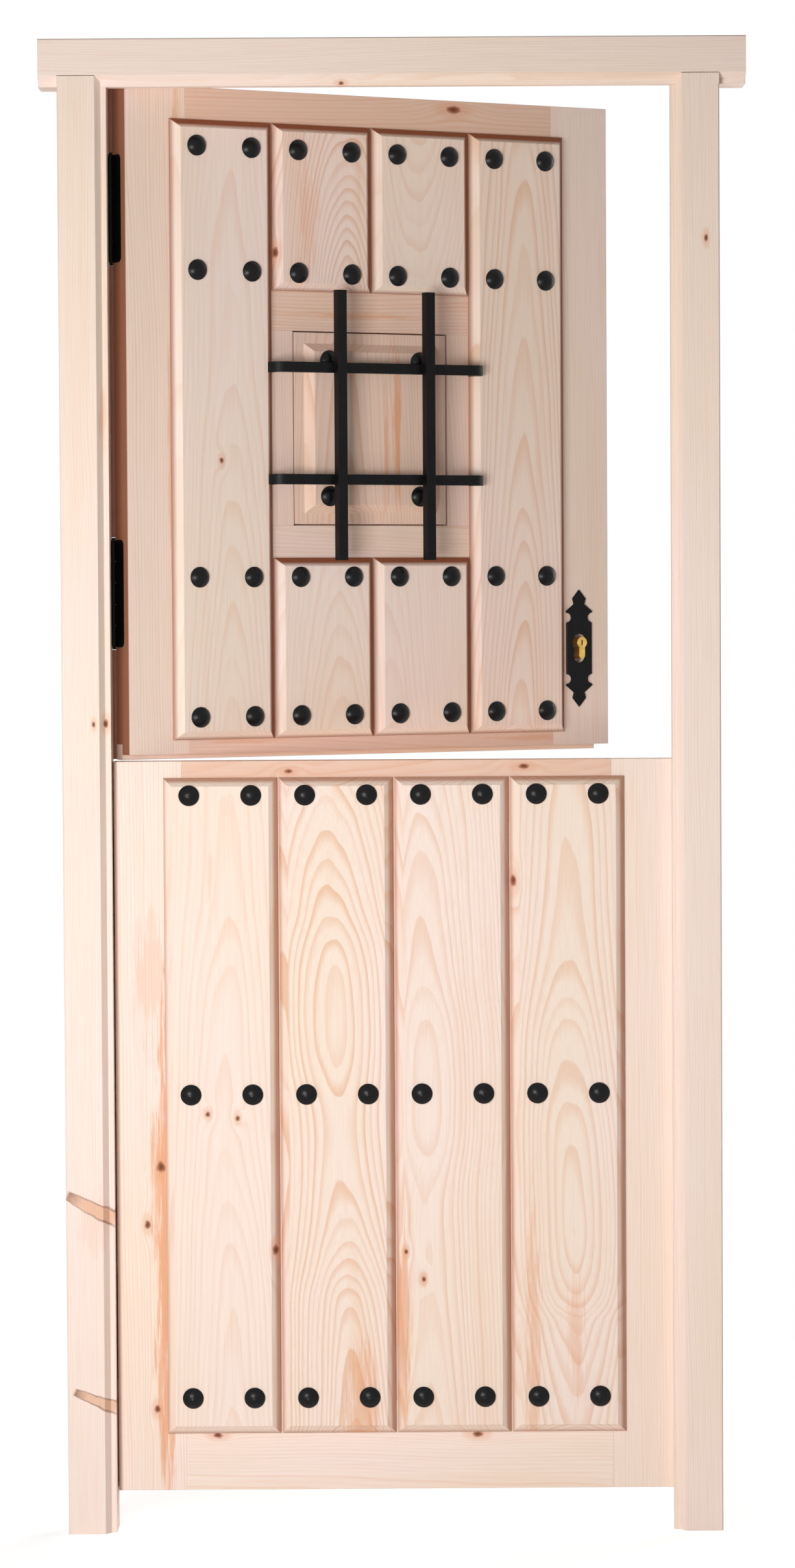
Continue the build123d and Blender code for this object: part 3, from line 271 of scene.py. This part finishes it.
# Around a knot: the scale of the offsets along and over the grain, how far the rings bend in its half widths, the
# fade of that bend, and where its halo, body and heart fade out
KNOT_SCALES, KNOT_BEND, KNOT_FADE = (0.30, 0.42), 1.7, -0.6
HALO_FALL, BODY_FALL, HEART_FALL = (0.1, 1.1), (0.6, 1.25), (0.15, 0.85)
# Resin streaks: the rates of their threads along and over the grain, how much they fray, and where they fade out
STAIN_RATES, STAIN_FRAY, STAIN_FALL = (14.0, 260.0), 2.6, (0.35, 1.0)
# Branches: the rates of their noise, where they begin, end, fade to their sides and stop being dark at the thin end
BRANCH_RATES = (3.0, 60.0)
BRANCH_START, BRANCH_END, BRANCH_SIDE, BRANCH_DARK_END = (-0.03, 0.05), (0.9, 1.15), (0.75, 1.1), (0.0, 0.35)
# How sharp a branch's outline is, and where it runs in half widths from the middle
LINE_SHARPNESS, LINE_PLACE = 4.5, 4.0 / 4.5
# Painted shade in the grooves, in metres: half the width in which the shaded side turns into the lit one, the depth
# over which the painted shade grows on the shaded side, and the depths between which it grows on the lit one, with how
# much
SIDE_BLEND, SHADED_DEPTH, LIT_RISE, LIT_AMOUNT = 0.0006, 0.006, (0.0215, 0.0285), 0.75


def principled(name):
    """A new material, its graph and its shader."""
    material = bpy.data.materials.new(name)
    material.use_nodes = True
    graph = Graph(material.node_tree)
    shader = next(n for n in material.node_tree.nodes if n.type == "BSDF_PRINCIPLED")
    return material, graph, shader


def closed_point(graph, leaf):
    """The point on the object, in the upper leaf's own axes where the piece belongs to it."""
    point = graph.object_point()
    if leaf:
        inputs = {"Vector": point, "Center": PIN, "Angle": -OPENING}
        point = graph.node("ShaderNodeVectorRotate", inputs, rotation_type="Z_AXIS").outputs[0]
    return point


def ellipse(graph, along, across, place):
    """Both offsets from a place, and the distance with an uneven outline, in units of its half sizes."""
    middle_along, middle_across, half_along, half_across = place
    x = graph.over(graph.minus(along, middle_along), half_along)
    y = graph.over(graph.minus(across, middle_across), half_across)
    uneven = graph.noise(graph.vector(x, y, middle_along * 31), 0.9)
    away = graph.math("SQRT", graph.plus(graph.times(x, x), graph.times(y, y)))
    return x, y, graph.times_plus(graph.centred(uneven), UNEVEN_OUTLINE, away)


def knot_masks(graph, along, across, knots):
    """How far the knots bend the rings, then their feathered halo, brown body and dark heart."""
    bend, halo, body, heart = 0.0, 0.0, 0.0, 0.0
    for knot in knots:
        x, y, away = ellipse(graph, along, across, knot)
        scaled = [graph.times(offset, scale) for offset, scale in zip((x, y), KNOT_SCALES)]
        squared = graph.plus(*(graph.times(offset, offset) for offset in scaled))
        near = graph.math("POWER", 2.718, graph.times(squared, KNOT_FADE))
        half_across = knot[3]
        bend = graph.times_plus(near, half_across * KNOT_BEND, bend)
        halo = graph.larger(halo, graph.fall(squared, *HALO_FALL))
        body = graph.larger(body, graph.fall(away, *BODY_FALL))
        heart = graph.larger(heart, graph.fall(away, *HEART_FALL))
    return bend, halo, body, heart


def stain_mask(graph, along, across, stains):
    """Resin streaks that fray along the grain."""
    total = 0.0
    rate_along, rate_over = STAIN_RATES
    for *place, strength in stains:
        away = ellipse(graph, along, across, place)[2]
        spot = graph.vector(graph.times(along, rate_along), graph.times(across, rate_over), place[0])
        frayed = graph.times_plus(graph.centred(graph.noise(spot, detail=4.0, roughness=0.65)), STAIN_FRAY, away)
        total = graph.larger(total, graph.times(graph.fall(frayed, *STAIN_FALL), strength))
    return total


def branch_masks(graph, along, across, branches):
    """Branches cut lengthwise: their wood and their dark outline."""
    wood, outline = 0.0, 0.0
    for start_along, start_across, end_along, end_across, thin, thick in branches:
        run, rise = end_across - start_across, end_along - start_along
        length = math.hypot(run, rise)
        cos, sin = run / length, rise / length
        x, y = graph.minus(across, start_across), graph.minus(along, start_along)
        # The share of the way along the branch, and the distance from its middle line
        u = graph.over(graph.plus(graph.times(x, cos), graph.times(y, sin)), length)
        v = graph.minus(graph.times(y, cos), graph.times(x, sin))
        width = graph.times_plus(u, thick - thin, thin)
        spot = graph.vector(graph.times(u, BRANCH_RATES[0]), graph.times(v, BRANCH_RATES[1]), length * 90)
        uneven = graph.noise(spot, detail=3.0, roughness=0.6)
        away = graph.over(graph.math("ABSOLUTE", v), width)
        away = graph.times_plus(graph.centred(uneven), UNEVEN_OUTLINE, away)
        within = graph.times(graph.rise(u, *BRANCH_START), graph.fall(u, *BRANCH_END))
        inside = graph.times(within, graph.fall(away, *BRANCH_SIDE))
        # The line follows the outline, and the thin end is dark all over
        from_line = graph.times_plus(away, LINE_SHARPNESS, -LINE_SHARPNESS * LINE_PLACE)
        line = graph.math("SUBTRACT", 1.0, graph.math("ABSOLUTE", from_line), clamp=True)
        dark = graph.larger(line, graph.times(inside, graph.fall(u, *BRANCH_DARK_END)))
        wood = graph.larger(wood, inside)
        outline = graph.larger(outline, graph.times(graph.times(dark, within), uneven))
    return wood, outline


def along_profile(graph, along, heights):
    """Extra pith depth in metres along the grain, from pairs of height and depth, for a given figure."""
    depths = [depth for _, depth in heights]
    low, high = min(depths), max(depths)
    made = graph.node("ShaderNodeFloatCurve")
    graph.feed(made.inputs["Value"], graph.over(along, CURVE_SPAN))
    curve = made.mapping.curves[0]
    places = [(height / CURVE_SPAN, (depth - low) / (high - low)) for height, depth in heights]
    curve.points[0].location, curve.points[1].location = places[0], places[-1]
    for place in places[1:-1]:
        curve.points.new(*place)
    made.mapping.update()
    return graph.times_plus(made.outputs[0], high - low, low)


def groove_shade_mask(graph, node, split, start):
    """Painted shade on a plank's bevels, away from the light from the lower left: the right and top ones all over, the
    others only near the leaf.
    """
    middle = PLANK_MIDDLES[node.split("_plank_")[1][0]]
    low, high = (corner.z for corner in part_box(node))
    lit = graph.smaller(graph.minus(split["X"], middle - PLANK_HALF), graph.minus(split["Z"], low))
    shaded = graph.smaller(graph.minus(middle + PLANK_HALF, split["X"]), graph.minus(high, split["Z"]))
    side = graph.rise(graph.minus(lit, shaded), -SIDE_BLEND, SIDE_BLEND)
    whole = graph.rise(split["Y"], start, start + SHADED_DEPTH)
    deep = graph.times(graph.rise(split["Y"], *LIT_RISE), LIT_AMOUNT)
    return graph.plus(graph.times(side, whole), graph.times(graph.minus(1.0, side), deep))


def pine(node, horizontal, leaf, grain, contrast=1.0, warm_and_shade=0.0, dark=0.0):
    """Planed raw pine for one timber. Grain is the pith's place and tilt, the ring width, a seed and a wander."""
    material, graph, shader = principled("pine_" + node)
    split = graph.node("ShaderNodeSeparateXYZ", {"Vector": closed_point(graph, leaf)}).outputs
    along, across = (split["X"], split["Z"]) if horizontal else (split["Z"], split["X"])
    bend, *knot_layers = knot_masks(graph, along, across, KNOTS.get(node, ()))
    depth = split["Y"]
    if node in FIGURES:
        depth = graph.minus(depth, along_profile(graph, along, FIGURES[node]))
    inputs = dict(zip(GROUP_INPUTS, (along, across, depth, bend, *grain)))
    rings = graph.node("ShaderNodeGroup", node_tree=RINGS)
    for key, value in inputs.items():
        graph.feed(rings.inputs[key], value)
    late, fibre, tone, streak = (rings.outputs[key] for key in GROUP_OUTPUTS)

    blush = graph.rise(tone, *TONE_RISE)
    early_colour = graph.mix(blush, *EARLY_WOOD)
    late_colour = graph.mix(blush, *LATE_WOOD)
    colour = graph.mix(graph.times(late, LATE_AMOUNT * contrast), early_colour, late_colour)
    colour = graph.mix(graph.times(graph.rise(fibre, *FIBRE_RISE), FIBRE_AMOUNT), colour, FIBRE_COLOUR)
    colour = graph.mix(graph.times(streak, STREAK_AMOUNT * contrast), colour, STREAK_COLOUR)
    # The warm mix: partly the timber's own tone, partly painted shade on timbers that lie in shade
    if warm_and_shade:
        colour = graph.mix(warm_and_shade, colour, WARM_AND_SHADE_COLOUR)
    # The dark mix is painted shade
    if dark:
        colour = graph.mix(dark, colour, PAINTED_SHADE_COLOUR)
    # Painted shade in the planks' bevels and grooves, where the light from the lower left doesn't reach
    if "_plank_" in node:
        start, amount, groove_shade_colour = UPPER_GROOVE_SHADE if leaf else LOWER_GROOVE_SHADE
        colour = graph.mix(graph.times(groove_shade_mask(graph, node, split, start), amount), colour, groove_shade_colour)
    # Painted shadow of the jamb on the hinge-side edge
    if node in SHADED_EDGES:
        start, end, amount = SHADED_EDGES[node]
        colour = graph.mix(graph.times(graph.fall(split["X"], start, end), amount), colour, EDGE_SHADE_COLOUR)
    if node in STAINS:
        colour = graph.mix(stain_mask(graph, along, across, STAINS[node]), colour, RESIN_COLOUR)
    if node in KNOTS:
        for mask, (amount, knot_colour) in zip(knot_layers, KNOT_LAYERS):
            colour = graph.mix(graph.times(mask, amount), colour, knot_colour)
    if node in BRANCHES:
        for mask, (amount, branch_colour) in zip(branch_masks(graph, along, across, BRANCHES[node]),
                                                 (BRANCH_WOOD, BRANCH_OUTLINE)):
            colour = graph.mix(graph.math("MULTIPLY", mask, amount, clamp=True), colour, branch_colour)
    graph.feed(shader.inputs["Base Color"], colour)
    graph.feed(shader.inputs["Roughness"], graph.times_plus(late, -LATE_POLISH, EARLY_ROUGHNESS))
    shader.inputs["Specular IOR Level"].default_value = PINE_SPECULAR
    height = graph.times_plus(late, LATE_RELIEF, graph.times(fibre, FIBRE_RELIEF))
    graph.relief(shader, arris=0.0013, strength=0.22, distance=0.0006, height=height)
    return material


# How much lighter the iron is where it is rubbed, and how far its roughness and the metals' differ from their middles
RUBBED_GAIN, RUBBED_LIFT = 1.9, 0.001
IRON_SWING, METAL_SWING = 0.11, 0.12
# The finest marks' rate in units of the coarse marks' one, and the shares of both in the iron's colour
FINE_RATE, FINE_SHARE, COARSE_SHARE = 7, 0.4, 0.6
# How dark brass and steel are where they have worn least
DULL_SHADE = 0.72


def iron(name, colour, roughness, grain, strength, arris, specular):
    """Blackened iron with faint hammer marks and rubbed arrises."""
    material, graph, shader = principled(name)
    point = graph.object_point()
    coarse = graph.noise(point, grain, detail=3.0, roughness=0.55)
    fine = graph.noise(point, grain * FINE_RATE, roughness=0.6)
    shade = graph.rise(graph.times_plus(fine, FINE_SHARE, graph.times(coarse, COARSE_SHARE)), 0.3, 0.7)
    lighter = tuple(c * RUBBED_GAIN + RUBBED_LIFT for c in colour[:3]) + (1.0,)
    graph.feed(shader.inputs["Base Color"], graph.mix(shade, colour, lighter))
    graph.feed(shader.inputs["Roughness"], graph.times_plus(fine, 2 * IRON_SWING, roughness - IRON_SWING))
    shader.inputs["Specular IOR Level"].default_value = specular
    graph.relief(shader, arris, strength, distance=0.0012, height=coarse)
    return material


def metal(name, colour, roughness, stretch):
    """Brass or plated steel with fine turning or rolling marks."""
    material, graph, shader = principled(name)
    point = graph.object_point()
    marks = graph.node("ShaderNodeMapping", {"Vector": point, "Scale": stretch}).outputs[0]
    fine = graph.noise(marks, detail=3.0, roughness=0.6)
    worn = graph.rise(graph.noise(point, 60.0), 0.35, 0.7)
    darker = tuple(c * DULL_SHADE for c in colour[:3]) + (1.0,)
    graph.feed(shader.inputs["Base Color"], graph.mix(worn, darker, colour))
    graph.feed(shader.inputs["Roughness"], graph.times_plus(fine, 0.25, roughness - METAL_SWING))
    shader.inputs["Metallic"].default_value = 1.0
    graph.relief(shader, arris=0.0005, strength=0.08, distance=0.0004, height=fine)
    return material


# Each timber: whether its grain runs across the door, the ring width in mm, the pith's offsets over the grain and
# in depth in metres, its tilt in depth, its wander in metres, and the finish, whose warm mix is partly the timber's
# own tone and partly painted shade on the rails, the window's parts and the panels that lie in shade
TIMBERS = {
    "left_jamb": (False, 3.4, 0.13, 0.05, 0.012, 0.030, {"contrast": 0.40}),
    "right_jamb": (False, 3.2, -0.13, 0.06, 0.012, 0.028, {"contrast": 0.40}),
    "head": (True, 3.0, 0.12, 0.05, 0.012, 0.026, {"contrast": 0.42}),
    "upper_hinge_stile": (False, 3.6, -0.10, 0.05, 0.022, 0.020, {"contrast": 0.65, "warm_and_shade": 0.08}),
    "upper_lock_stile": (False, 3.4, 0.10, 0.05, -0.02, 0.018, {"contrast": 0.45}),
    "upper_top_rail": (True, 4.0, 0.09, 0.05, 0.03, 0.02, {"contrast": 0.8, "warm_and_shade": 0.38}),
    "upper_bottom_rail": (True, 4.0, -0.09, 0.05, 0.03, 0.02, {"contrast": 0.6, "warm_and_shade": 0.34}),
    "meeting_lip": (True, 3.6, -0.06, 0.07, 0.02, 0.02, {"contrast": 0.6, "warm_and_shade": 0.06}),
    "window_top_rail": (True, 4.0, 0.07, 0.06, 0.03, 0.02, {"warm_and_shade": 0.30}),
    "window_bottom_rail": (True, 4.0, 0.07, 0.06, -0.03, 0.02, {"contrast": 0.7, "warm_and_shade": 0.16}),
    "window_side_panels": (False, 4.0, 0.09, 0.05, 0.03, 0.02, {"contrast": 0.7, "warm_and_shade": 0.20}),
    "upper_panel": (True, 4.0, 0.04, 0.09, 0.03, 0.02, {"warm_and_shade": 0.35}),
    "lower_panel": (True, 4.0, 0.04, 0.09, 0.03, 0.02, {"warm_and_shade": 0.35}),
    "shutter": (False, 4.6, -0.05, 0.05, 0.05, 0.03, {"contrast": 0.9, "warm_and_shade": 0.26}),
    "upper_plank_1": (False, 4.6, 0.01, 0.065, 0.05, 0.045, {"contrast": 0.42}),
    "upper_plank_2_above": (False, 5.0, 0.038, 0.035, 0.22, 0.02, {"contrast": 1.15, "warm_and_shade": 0.05}),
    "upper_plank_2_below": (False, 4.6, 0.02, 0.060, 0.08, 0.03, {"contrast": 0.45}),
    "upper_plank_3_above": (False, 4.6, -0.01, 0.070, -0.12, 0.03, {"contrast": 0.45}),
    "upper_plank_3_below": (False, 4.6, -0.06, 0.060, 0.09, 0.03, {"contrast": 0.35}),
    "upper_plank_4": (False, 5.6, 0.002, 0.045, 0.060, 0.020, {"contrast": 0.85}),
    "lower_hinge_stile": (False, 3.6, -0.10, 0.05, 0.022, 0.022, {"contrast": 0.60}),
    "lower_lock_stile": (False, 3.4, 0.10, 0.05, -0.02, 0.018, {"contrast": 0.40}),
    "lower_top_rail": (True, 3.6, 0.05, 0.07, 0.03, 0.02, {"contrast": 0.8, "warm_and_shade": 0.40}),
    "lower_bottom_rail": (True, 4.0, -0.09, 0.05, 0.03, 0.02, {"contrast": 0.45}),
    "lower_back_boards": (False, 4.4, 0.05, 0.08, 0.04, 0.03, {"contrast": 0.8, "warm_and_shade": 0.25}),
    "lower_plank_1": (False, 5.0, 0.008, 0.060, 0.045, 0.040, {"contrast": 0.45}),
    "lower_plank_2": (False, 5.2, 0.0, 0.050, 0.0, 0.020, {"contrast": 1.05}),
    "lower_plank_3": (False, 5.0, -0.04, 0.050, 0.0, 0.020, {"contrast": 0.75}),
    "lower_plank_4": (False, 5.4, 0.004, 0.050, 0.0, 0.020, {"contrast": 0.80}),
}

# Extra depth of the pith at heights along the grain, in metres, where the arches have their own pattern
FIGURES = {
    "lower_plank_2": [(0.05, -0.036), (0.32, -0.012), (0.56, 0.016), (0.74, 0.006), (0.90, 0.020), (1.12, 0.052)],
    "lower_plank_3": [(0.05, -0.030), (0.45, 0.010), (0.62, 0.000), (0.80, 0.010), (1.12, 0.030)],
    "lower_plank_4": [(0.05, 0.036), (0.30, 0.012), (0.45, -0.012), (0.66, 0.000), (0.90, 0.022), (1.12, 0.030)],
}

# Stiles whose hinge-side edge carries the painted shadow of the jamb: where that starts to fade and ends, in metres,
# and how dark it is
SHADED_EDGES = {"upper_hinge_stile": (-0.4008, -0.3996, 0.90), "lower_hinge_stile": (-0.4004, -0.3940, 0.70)}

# The places of the timbers' noises: that of the first timber and the step to the next
SEED_START, SEED_STEP = 1.3, 3.7

# How far a pith leans over the grain at most where that is drawn, and where it is given
LEAN_LIMIT = 0.012
LEANS = {"lower_plank_2": -0.035, "upper_plank_4": 0.012}

# Knots: place along and over the grain, then their half sizes, in metres
KNOTS = {
    "head": [(-0.067, 2.084, 0.004, 0.003)],
    "upper_top_rail": [(0.146, 2.075, 0.012, 0.006)],
    "upper_plank_1": [(1.549, -0.255, 0.0045, 0.0036)],
    "upper_plank_2_above": [(1.853, -0.160, 0.008, 0.004)],
    "left_jamb": [(1.171, -0.410, 0.006, 0.0036), (1.170, -0.427, 0.004, 0.0025)],
    "right_jamb": [(1.860, 0.453, 0.0055, 0.0032)],
    "lower_hinge_stile": [
        (0.814, -0.327, 0.006, 0.0036), (0.528, -0.337, 0.0080, 0.0062), (0.445, -0.357, 0.0065, 0.0044),
        (0.176, -0.345, 0.0060, 0.0046),
    ],
    "lower_plank_1": [(0.606, -0.268, 0.0042, 0.0036), (0.600, -0.225, 0.0042, 0.0034), (0.408, -0.171, 0.008, 0.005)],
    "lower_plank_3": [(0.405, 0.017, 0.004, 0.003), (0.365, 0.042, 0.004, 0.003)],
    "lower_plank_4": [(0.941, 0.174, 0.008, 0.0045)],
    "lower_top_rail": [(0.190, 1.105, 0.008, 0.004), (-0.149, 1.100, 0.006, 0.0035)],
    "lower_bottom_rail": [(-0.257, 0.137, 0.007, 0.004), (0.119, 0.137, 0.008, 0.005)],
}

# Branches cut lengthwise: both ends along and over the grain, then the half widths there, in metres
BRANCHES = {
    "left_jamb": [(0.492, -0.472, 0.455, -0.402, 0.0065, 0.0120), (0.207, -0.463, 0.181, -0.402, 0.0055, 0.0095)],
}

# Resin streaks: place along and over the grain and half sizes in metres, then the strength
STAINS = {
    "lower_hinge_stile": [
        (0.42, -0.334, 0.40, 0.012, 0.72), (0.50, -0.338, 0.13, 0.020, 0.62), (0.20, -0.330, 0.18, 0.020, 0.62),
        (0.80, -0.350, 0.13, 0.026, 0.24),
    ],
    "upper_hinge_stile": [(2.03, -0.318, 0.07, 0.007, 0.40), (1.60, -0.330, 0.22, 0.005, 0.35)],
    "left_jamb": [(0.45, -0.430, 0.05, 0.030, 0.14), (1.62, -0.410, 0.07, 0.006, 0.30)],
    "lower_plank_2": [(0.17, -0.050, 0.11, 0.034, 0.42)],
    "lower_plank_3": [(0.29, 0.014, 0.18, 0.012, 0.50)],
    "lower_plank_4": [(0.30, 0.200, 0.26, 0.012, 0.40), (0.28, 0.262, 0.12, 0.016, 0.30)],
    "upper_plank_2_above": [(1.90, -0.110, 0.10, 0.018, 0.25)],
    "upper_plank_3_below": [(1.28, -0.03, 0.05, 0.004, 0.45)],
    "lower_plank_1": [(0.95, -0.262, 0.05, 0.003, 0.18)],
    "shutter": [(1.60, 0.040, 0.14, 0.008, 0.60), (1.57, 0.022, 0.12, 0.005, 0.45), (1.62, -0.060, 0.12, 0.004, 0.35)],
    "upper_bottom_rail": [(0.30, 1.137, 0.10, 0.006, 0.35), (-0.20, 1.140, 0.08, 0.005, 0.30)],
    "upper_panel": [(-0.05, 1.775, 0.20, 0.006, 0.40), (0.06, 1.750, 0.16, 0.005, 0.35)],
    "window_top_rail": [(-0.03, 1.765, 0.16, 0.006, 0.40)],
}

# Which body each node belongs to, and the bodies that stand open with the upper leaf at rest
BODY_OF = {node: body for body, nodes in frame["record"]["behaviour"]["bodies"].items() for node in nodes}
OPENED = {"upper_leaf", "deadbolt", "cylinder_turning", "shutter", "shutter_button"}


def turned_about_pin(angle):
    return Matrix.Translation(PIN) @ Matrix.Rotation(angle, 4, "Z") @ Matrix.Translation(-Vector(PIN))


def closed_centre(node):
    """The middle of a node's box with its leaf closed."""
    low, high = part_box(node)
    middle = (low + high) / 2
    return turned_about_pin(-OPENING) @ middle if BODY_OF[node] in OPENED else middle


def set_material(node, material):
    for slot in frame["nodes"][node].material_slots:
        slot.material = material


def dress_timbers():
    for number, (node, values) in enumerate(TIMBERS.items()):
        horizontal, ring, shift, pith_depth, tilt, wander, finish = values
        middle = closed_centre(node)
        chance = random.Random(number + 3)
        along, across = (middle.x, middle.z) if horizontal else (middle.z, middle.x)
        tilt_across = LEANS.get(node, chance.uniform(-LEAN_LIMIT, LEAN_LIMIT))
        pith_across = across + shift - tilt_across * along
        pith = middle.y + pith_depth - tilt * along
        seed = SEED_STEP * number + SEED_START
        grain = (pith_across, pith, tilt_across, tilt, ring / 1000, seed, wander)
        set_material(node, pine(node, horizontal, BODY_OF[node] in OPENED, grain, **finish))


def dress_metals():
    black = (0.0026, 0.0026, 0.0032, 1.0)
    forged = iron("black_iron_forged", black, 0.42, grain=55.0, strength=0.30, arris=0.0012, specular=0.14)
    domed = iron("black_iron_studs", black, 0.30, grain=90.0, strength=0.22, arris=0.0006, specular=0.17)
    plain = iron("black_iron_hinges", black, 0.46, grain=120.0, strength=0.12, arris=0.0004, specular=0.14)
    brass = metal("satin_brass", srgb(232, 190, 108), 0.34, stretch=(300.0, 60.0, 300.0))
    steel = metal("plated_steel", srgb(176, 178, 182), 0.38, stretch=(80.0, 80.0, 900.0))
    finishes = {"black_iron": plain, "brass": brass, "lock_steel": steel}
    for entry in frame["record"]["subparts"]:
        node, slot_name = entry["node"], entry["material_slot"]
        if slot_name == "pine":
            continue
        material = finishes[slot_name]
        if "studs" in node:
            material = domed
        elif "grille" in node or "plate" in node and slot_name == "black_iron":
            material = forged
        set_material(node, material)


def smooth_domes():
    for node in frame["nodes"].values():
        if "studs" in node.name:
            node.data.shade_smooth()


def leaf_prism(name, outline, low, high, material):
    """A closed prism over an outline drawn with the upper leaf closed, placed as the leaf stands."""
    rest = turned_about_pin(OPENING)
    points = [rest @ Vector((x, y, z)) for z in (low, high) for x, y in outline]
    count = len(outline)
    faces = [tuple(range(count))[::-1], tuple(range(count, 2 * count))]
    faces += [(i, (i + 1) % count, (i + 1) % count + count, i + count) for i in range(count)]
    mesh = bpy.data.meshes.new(name)
    mesh.from_pydata(points, [], faces)
    mesh.materials.append(material)
    made = bpy.data.objects.new(name, mesh)
    bpy.context.scene.collection.objects.link(made)
    return made


# The hinge beads' round, where it ends in the flange, the flange and the beads' spans, in metres, leaf closed
BEAD_RADIUS = 0.0052
BEAD_FLAT = PIN[0] + 0.0012
FLANGE_FRONT, FLANGE_REAR, FLANGE_END = 0.0701, 0.0722, -0.3885
BEAD_SPANS = {"below_hinges": (1.1175, 1.2755), "between_hinges": (1.4385, 1.8300), "above_hinges": (1.9930, 2.0865)}
BEAD_TURNS = 20
# The beads' grain: the pith's offsets from the pins, its tilts, the ring width, the noises' place and the wander
BEAD_GRAIN = (PIN[0] + 0.02, PIN[1] + 0.03, 0.0, 0.02, 0.003, 71.0, 0.02)


def make_hinge_shade_beads():
    """Pine beads put in the slit behind the hinge stile, where there is only shade, and darkened with painted shade: a
    round on the pins' line and its flange.
    """
    # The dark mix paints shade on the beads
    material = pine("hinge_beads", horizontal=False, leaf=True, grain=BEAD_GRAIN, contrast=0.8, dark=0.8)
    start = math.asin((FLANGE_REAR - PIN[1]) / BEAD_RADIUS)
    sweep = 2 * math.pi - (start + math.pi / 2)
    angles = [start + sweep * i / BEAD_TURNS for i in range(BEAD_TURNS + 1)]
    outline = [(PIN[0] + BEAD_RADIUS * math.cos(t), PIN[1] + BEAD_RADIUS * math.sin(t)) for t in angles]
    outline += [(BEAD_FLAT, FLANGE_FRONT), (FLANGE_END, FLANGE_FRONT), (FLANGE_END, FLANGE_REAR)]
    for place, (low, high) in BEAD_SPANS.items():
        bead = leaf_prism("hinge_shade_bead_" + place, outline, low, high, material)
        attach(bead, "upper_leaf")


# The floor's size and the radii between which it becomes the white of the background, in metres
FLOOR_SIZE = 14.0
FLOOR_WHITE = (0.6, 1.6)
# Glow that lifts the lit floor near the door to white and leaves its shadow
FLOOR_LIFT = 0.56
WHITE = (1, 1, 1, 1)


def make_floor():
    bpy.ops.mesh.primitive_plane_add(size=FLOOR_SIZE, location=(0, 0, 0))
    floor = bpy.context.object
    floor.name = "studio_floor"
    material, graph, shader = principled("studio_floor")
    shader.inputs["Base Color"].default_value = (0.86, 0.86, 0.86, 1.0)
    shader.inputs["Roughness"].default_value = 0.9
    shader.inputs["Specular IOR Level"].default_value = 0.0
    inputs = {0: graph.object_point()}
    away = graph.node("ShaderNodeVectorMath", inputs, operation="LENGTH").outputs["Value"]
    glow = graph.node("ShaderNodeEmission", {"Color": WHITE, "Strength": FLOOR_LIFT}).outputs[0]
    near = graph.node("ShaderNodeAddShader", {0: shader.outputs[0], 1: glow}).outputs[0]
    white = graph.node("ShaderNodeEmission", {"Color": WHITE, "Strength": 1.0}).outputs[0]
    inputs = {0: graph.rise(away, *FLOOR_WHITE), 1: near, 2: white}
    spread = graph.node("ShaderNodeMixShader", inputs).outputs[0]
    inputs = {0: graph.seen_directly(), 1: shader.outputs[0], 2: spread}
    shown = graph.node("ShaderNodeMixShader", inputs).outputs[0]
    output = next(n for n in material.node_tree.nodes if n.type == "OUTPUT_MATERIAL")
    graph.feed(output.inputs["Surface"], shown)
    floor.data.materials.append(material)


# The world's light level, and how much less of it comes from above and from the right
FILL, FILL_LOSS_ABOVE, FILL_LOSS_RIGHT = 0.23, 0.12, 0.05


def make_world():
    world = bpy.data.worlds.new("studio")
    bpy.context.scene.world = world
    world.use_nodes = True
    graph = Graph(world.node_tree)
    background = next(n for n in world.node_tree.nodes if n.type == "BACKGROUND")
    background.inputs["Color"].default_value = WHITE
    direction = graph.node("ShaderNodeTexCoord").outputs["Generated"]
    way = graph.node("ShaderNodeSeparateXYZ", {"Vector": direction}).outputs
    fill = graph.times_plus(way["Z"], -FILL_LOSS_ABOVE, FILL)
    fill = graph.times_plus(way["X"], -FILL_LOSS_RIGHT, fill)
    graph.feed(background.inputs["Strength"], graph.larger(fill, graph.seen_directly()))


def area_lamp(name, place, target, width, height, power):
    lamp = bpy.data.lights.new(name, "AREA")
    lamp.shape = "RECTANGLE"
    lamp.size, lamp.size_y = width, height
    lamp.energy = power
    holder = bpy.data.objects.new(name, lamp)
    bpy.context.scene.collection.objects.link(holder)
    holder.location = place
    holder.rotation_euler = (Vector(target) - Vector(place)).to_track_quat("-Z", "Y").to_euler()
    holder.visible_camera = False


# The camera that was fitted to the photo: place in metres, axes, then focal length and height in pixels
CAMERA_PLACE = (-0.00596, -6.76306, 1.35869)
CAMERA_RIGHT = (0.99998096, -0.00229057, -0.00573085)
CAMERA_UP = (0.00581974, 0.04089064, 0.99914668)
CAMERA_AHEAD = (0.00205427, 0.999161, -0.0409032)
FOCAL_PIXELS, HEIGHT_PIXELS = 7271.7, 2417
SENSOR_HEIGHT = 36.0


def make_camera():
    camera = bpy.data.cameras.new("photo_camera")
    camera.sensor_fit = "VERTICAL"
    camera.sensor_height = SENSOR_HEIGHT
    camera.lens = FOCAL_PIXELS / HEIGHT_PIXELS * SENSOR_HEIGHT
    holder = bpy.data.objects.new("photo_camera", camera)
    bpy.context.scene.collection.objects.link(holder)
    turn = Matrix((CAMERA_RIGHT, CAMERA_UP, -Vector(CAMERA_AHEAD))).transposed().to_4x4()
    holder.matrix_world = Matrix.Translation(CAMERA_PLACE) @ turn
    bpy.context.scene.camera = holder


dress_timbers()
dress_metals()
smooth_domes()
make_hinge_shade_beads()
make_floor()
make_world()
area_lamp("key", place=(-1.00, -2.65, 1.10), target=(0.0, 0.0, 0.95), width=1.2, height=1.0, power=60.5)
area_lamp("back", place=(1.9, 2.7, 1.7), target=(0.0, 0.1, 1.1), width=2.2, height=2.0, power=80.0)
make_camera()
bpy.context.scene.view_settings.view_transform = "Standard"
